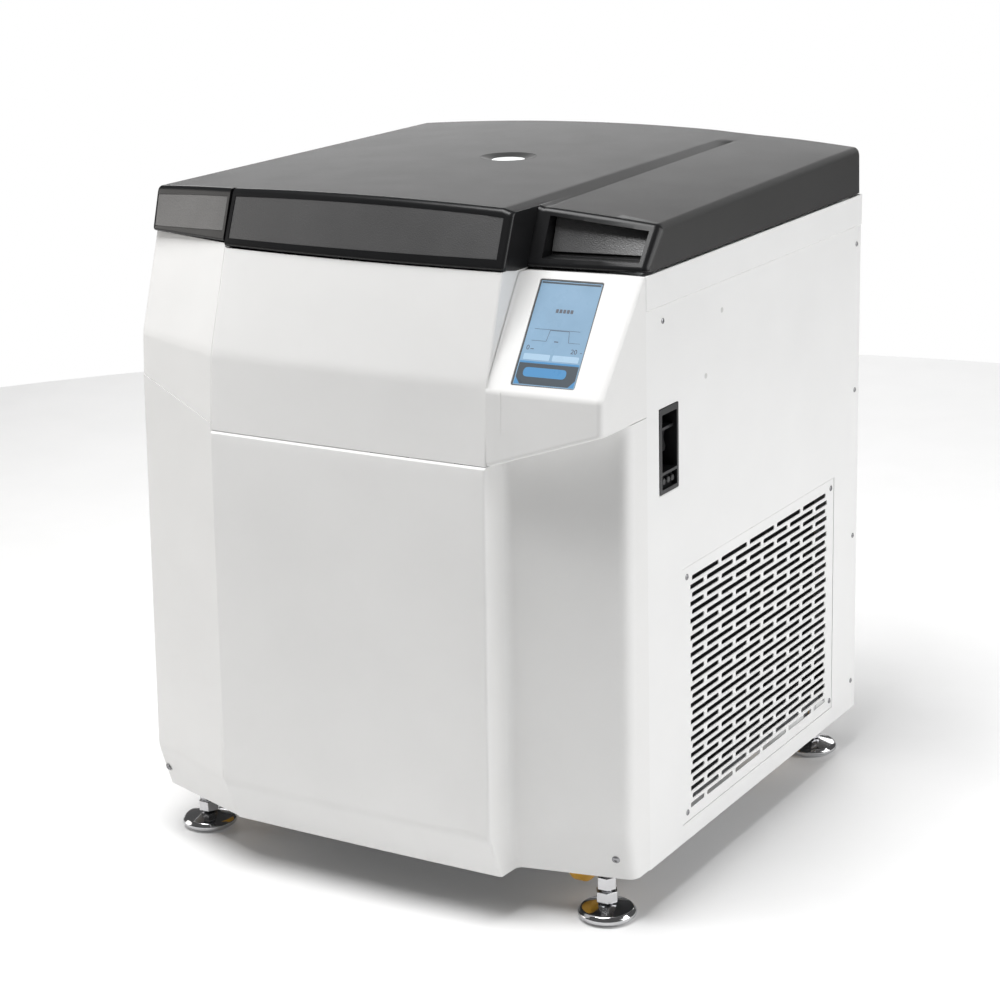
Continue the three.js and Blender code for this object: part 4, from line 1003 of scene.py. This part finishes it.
# Lid underside, hinges, lock and struts
def makeLidUnderside():
    plate = [(-390, -306), (-236, -360), (-116, -372), (0, -375), (116, -372), (224, -362), (224, -283),
             (390, -283), (390, 424), (-390, 424)]
    outline = arcPath(plate, [8, 20, 0, 0, 0, 10, 6, 8, 8, 8])
    liner = solidLoft("lid_tray", [[(x, y, z) for x, y in outline] for z in (902, 908)], look["brushedSteel"])
    dome = arcPath([(0, 886), (246, 886), (256, 892), (256, 903), (0, 903)], [0, 6, 6, 0, 0])
    plug = turned("plug", dome, axle, look["brushedSteel"], 128)
    ears = [block("ear", (353, 357), (291, 309), (876, 903), look["brushedSteel"]),
            block("ear", (-357, -353), (291, 309), (876, 903), look["brushedSteel"])]
    carve(liner, [plug, *ears], "UNION")
    tube = turned("tube", [(0, 880), (26, 880), (26, 930), (0, 930)], axle, look["brushedSteel"], 96)
    carve(liner, [tube])
    complete(liner, "lid", "lid_liner", bevel=0.8, steps=2)
    seal = arcPath([(272, 898.3), (284, 898.3), (284, 901.7), (272, 901.7)], [0.5, 0.5, 1.6, 1.6])
    ring = turned("deck_seal", seal + seal[:1], axle, look["sealRubber"], 128)
    complete(ring, "root", "lid_gasket")
    for side in ("left", "right"):
        refined("hinge_bracket_" + side, look["zincSteel"], bevel=0.4)
        refined("hinge_arm_" + side, look["zincSteel"], "lid", bevel=0.4)
    refined("lid_striker", look["zincSteel"], "lid", bevel=0.6)
    refined("lid_lock_housing", look["darkCastingAndShade"], bevel=1.0)
    for side in ("left", "right"):
        cylinder, rod = "strut_cylinder_" + side, "strut_rod_" + side
        refined(cylinder, look["blackPlastic"], cylinder, bevel=0.3)
        refined(rod, look["chromePlate"], rod, bevel=0.3)
    refined("lid_lock_bolt", look["brushedSteel"], "lid_lock_bolt", bevel=0.6)


makeLidUnderside()


# Chamber, drive, rotor and buckets
def makeChamber():
    bowl = arcPath([(20, 640), (222, 640), (250, 652), (262, 680), (262, 897), (265.5, 897), (265.5, 678),
                    (252.5, 649), (223, 636.5), (20, 636.5)], [0, 12, 20, 20, 1, 1, 20, 20, 12, 0])
    liner = turned("steel_bowl", bowl + bowl[:1], axle, look["brushedSteel"], 128)
    complete(liner, "root", "chamber_bowl")
    ring = [(60, 617), (285, 617), (285, 885), (297, 885), (297, 605), (60, 605), (60, 617)]
    drum = turned("guard_drum", ring, axle, look["darkCastingAndShade"], 96)
    for x, y in ((141, 174), (141, -108), (-141, 174), (-141, -108)):
        post = block("post", (x - 22, x + 22), (y - 22, y + 22), (112.3, 606), look["darkCastingAndShade"])
        carve(drum, [post], "UNION")
    complete(drum, "root", "containment_drum", bevel=1.2, steps=2)
    motor = arcPath([(0, 290), (80, 290), (96, 300), (96, 585), (130, 590), (130, 604.5), (50, 604.5),
                     (50, 629), (0, 629)], [0, 6, 8, 4, 3, 2, 3, 2, 0])
    body = turned("motor_housing", motor, axle, look["motorEnamel"], 72)
    complete(body, "root", "drive_motor")
    shaft = [(0, 629.5), (14, 629.5), (14, 690), (9, 714.5), (0, 714.5)]
    spindle = turned("motor_spindle", shaft, axle, look["brushedSteel"], 48)
    complete(spindle, "rotor", "drive_spindle", bevel=0.6)


def makeRotor():
    metal = look["turnedAluminium"]
    disc = arcPath([(0, 745), (236, 745), (236, 795), (0, 795)], [0, 5, 5, 0])
    yoke = turned("rotor_yoke", disc, axle, metal, 128)
    notches = []
    for quarter in range(4):
        turn = Matrix.Rotation(math.radians(90 * quarter), 3, "Z")
        row = lambda z: [tuple(turn @ Vector((x, y, z)) + Vector(axle))
                         for x, y in arcPath([(78, -66), (270, -66), (270, 66), (78, 66)], [22, 0, 0, 22])]
        notches.append(solidLoft("notch", [row(740), row(800)], metal))
    carve(yoke, notches)
    hub = arcPath([(0, 715), (48, 715), (60, 728), (60, 800), (0, 800)], [0, 3, 6, 4, 0])
    carve(yoke, [turned("hub", hub, axle, metal, 96)], "UNION")
    pins = []
    for quarter in range(4):
        turn = Matrix.Rotation(math.radians(90 * quarter), 4, "Z")
        for ends in ((-72, -57), (57, 72)):
            outline = [(0, ends[0]), (8, ends[0]), (8, ends[1]), (0, ends[1])]
            pin = turned("pin", outline, (0, 0, 0), metal, 32, "y")
            pin.data.transform(Matrix.Translation((0, 0.033, 0)) @ turn @ Matrix.Translation((0.14, 0, 0.77)))
            pins.append(pin)
    carve(yoke, pins, "UNION")
    complete(yoke, "rotor", "rotor_body", bevel=1.0, steps=2)
    knob = arcPath([(0, 800.3), (34, 800.3), (34, 808), (22, 812), (22, 830), (0, 832)], [0, 2, 3, 6, 4, 0])
    grip = turned("rotor_knob", knob, axle, look["blackPlastic"], 64)
    complete(grip, "rotor_lock_knob", "rotor_lock_knob")
    cup = arcPath([(0, 670), (40, 670), (54, 684), (54, 785), (47, 785), (47, 688), (39, 680), (0, 680)],
                  [0, 8, 10, 2, 2, 6, 5, 0])
    for k in range(4):
        low, high = nodeBox(f"swing_bucket_{k + 1}")
        middle = ((low.x + high.x) / 2, (low.y + high.y) / 2, 0)
        bucket = turned(f"rotor_bucket_{k + 1}", cup, middle, look["brushedSteel"], 64)
        complete(bucket, f"swing_bucket_{k + 1}", f"swing_bucket_{k + 1}")


def makeServices():
    low, high = nodeBox("condenser_coil")
    # the fins are dark to paint the shade seen through the side grille
    fins = meshObject("condenser_fins", [(0, 0, 0)], [], look["finMetalPaintedShade"])
    start = ((low.x + high.x) / 2000, low.y / 1000 + 0.004, (low.z + high.z + 2 * drop) / 2000)
    fromTree(fins, coolingFins, Count=110, Step=(0, 0.00405, 0), Size=(0.036, 0.0005, 0.316), Start=start,
             Metal=look["finMetalPaintedShade"])
    complete(fins, "root", "condenser_coil")
    pipes = []
    for row in range(11):
        z = low.z + 24 + row * 28
        pipes.append(turned("pipe", [(0, low.y), (4, low.y), (4, high.y), (0, high.y)],
                            ((low.x + high.x) / 2, 0, z), look["copperPipe"], 16, "y"))
    for pipe in pipes[1:]:
        carve(pipes[0], [pipe], "UNION")
    pipes[0].name = "condenser_pipes"
    complete(pipes[0], "root")
    shell = arcPath([(0, 112.3), (90, 112.3), (96, 142), (96, 260), (86, 300), (50, 325), (0, 332)],
                    [0, 4, 4, 20, 20, 20, 0])
    pump = turned("compressor_shell", shell, (-270, 320, 0), look["motorEnamel"], 64)
    complete(pump, "root", "compressor")
    refined("condenser_fan", look["blackPlastic"], "condenser_fan", bevel=0.6)
    refined("electronics_box", look["zincSteel"], bevel=0.5)
    outline = arcPath([(0, 442), (20, 442), (20, 446), (13, 447), (13, 452), (6, 452.5), (0, 452.5)],
                      [0, 0, 1, 1, 1, 0, 0])
    gland = turned("mains_gland", outline, (-300, 0, 130), look["blackPlastic"], 48, "y")
    complete(gland, "root", "mains_inlet")


makeChamber()
makeRotor()
makeServices()
print("inside made")


# Base, feet and castors
def makeFeet():
    pad = arcPath([(0, -20), (35, -20), (42.5, -14), (42.4, -9), (38, -4), (17, 2), (9, 5), (8, 7), (8, 99.6),
                   (0, 99.6)], [0, 3, 5, 5, 6, 8, 3, 1, 0, 0])
    for row in ("front", "rear"):
        for side in ("left", "right"):
            node = f"levelling_foot_{row}_{side}"
            low, high = nodeBox(node)
            middle = ((low.x + high.x) / 2, (low.y + high.y) / 2, 0)
            foot = turned(f"foot_{row}_{side}", pad, middle, look["chromePlate"], 72)
            for z0, z1, radius in ((5.5, 22, 16.8), (25, 44, 14.8)):
                outline = arcPath([(0, z0), (radius, z0), (radius, z1), (0, z1)], [0, 1.2, 1.2, 0], 3)
                nut = turned("nut", outline, middle, look["chromePlate"], 6)
                carve(foot, [nut], "UNION")
            complete(foot, node, node, bevel=0.3, steps=2, corner=25)


def makeCastors():
    tread = arcPath([(4.3, -13), (29, -13), (38, -9), (38, 9), (29, 13), (4.3, 13)], [0, 3, 4, 4, 3, 0])
    for row in ("front", "rear"):
        for side in ("left", "right"):
            node = f"castor_wheel_{row}_{side}"
            low, high = nodeBox(node)
            middle = (low + high) / 2
            wheel = turned(f"wheel_{row}_{side}", tread + tread[:1], middle, look["amberTread"], 64, "x")
            complete(wheel, node, node)
    for side in ("left", "right"):
        node = "castor_fork_front_" + side
        refined(node, look["zincSteel"], node, bevel=0.6)
    # the base plate takes the dark casting colour as painted shade, so the view through the side grille reads
    # dark
    refined("base_plate", look["darkCastingAndShade"], bevel=0.6)


makeFeet()
makeCastors()
print("base made")


# Floor, light and backdrop
studio = {"world": 0.12, "backdrop": 1.0, "floor": (0.88, 0.88, 0.88), "reach": 3200}
lamps = {
    "topPanel": dict(place=(-0.3, -1.25, 4.6), aim=(0, -0.3, 0.7), size=(2.4, 2.4), power=215,
                     colour=(1, 1, 1)),
    "rightPanel": dict(place=(4.2, 0.9, 1.9), aim=(0.3, 0, 0.6), size=(2.6, 2.8), power=104,
                       colour=(1, 1, 1)),
    "backPanel": dict(place=(-1.5, 4.6, 1.9), aim=(0, 0, 0.95), size=(5.5, 1.4), power=70,
                      colour=(1, 1, 1)),
    "leftPanel": dict(place=(-4.0, -1.4, 1.3), aim=(-0.2, -0.2, 0.6), size=(2.0, 2.4), power=42,
                      colour=(1, 0.97, 0.93)),
}


def makeStudio():
    paint = surface("floorPaint", studio["floor"], 0.6, tone=0.01, grain=(300, 0.01), glow=0.08)
    turns = [math.radians(3 * k) for k in range(120)]
    edge = [(studio["reach"] * math.cos(a), studio["reach"] * math.sin(a), -drop) for a in turns]
    floor = meshObject("floor", edge, [tuple(range(120))], paint)
    world = bpy.data.worlds.new("studio")
    bpy.context.scene.world = world
    world.use_nodes = True
    sky = world.node_tree.nodes["Background"]
    sky.inputs["Color"].default_value = (1, 1, 1, 1)
    seen = addNode(world.node_tree, "ShaderNodeLightPath")
    level = addNode(world.node_tree, "ShaderNodeMapRange")
    plug(world.node_tree, level, Value=seen.outputs["Is Camera Ray"], To_Min=studio["world"],
         To_Max=studio["backdrop"])
    world.node_tree.links.new(level.outputs["Result"], sky.inputs["Strength"])
    for name, lamp in lamps.items():
        data = bpy.data.lights.new(name, "AREA")
        data.shape, data.energy, data.color = "RECTANGLE", lamp["power"], lamp["colour"]
        data.size, data.size_y = lamp["size"]
        obj = bpy.data.objects.new(name, data)
        bpy.context.scene.collection.objects.link(obj)
        obj.location = lamp["place"]
        way = Vector(lamp["aim"]) - Vector(lamp["place"])
        obj.rotation_euler = way.to_track_quat("-Z", "Y").to_euler()
        obj.visible_camera = False
    bpy.context.scene.view_settings.view_transform = "Standard"


makeStudio()
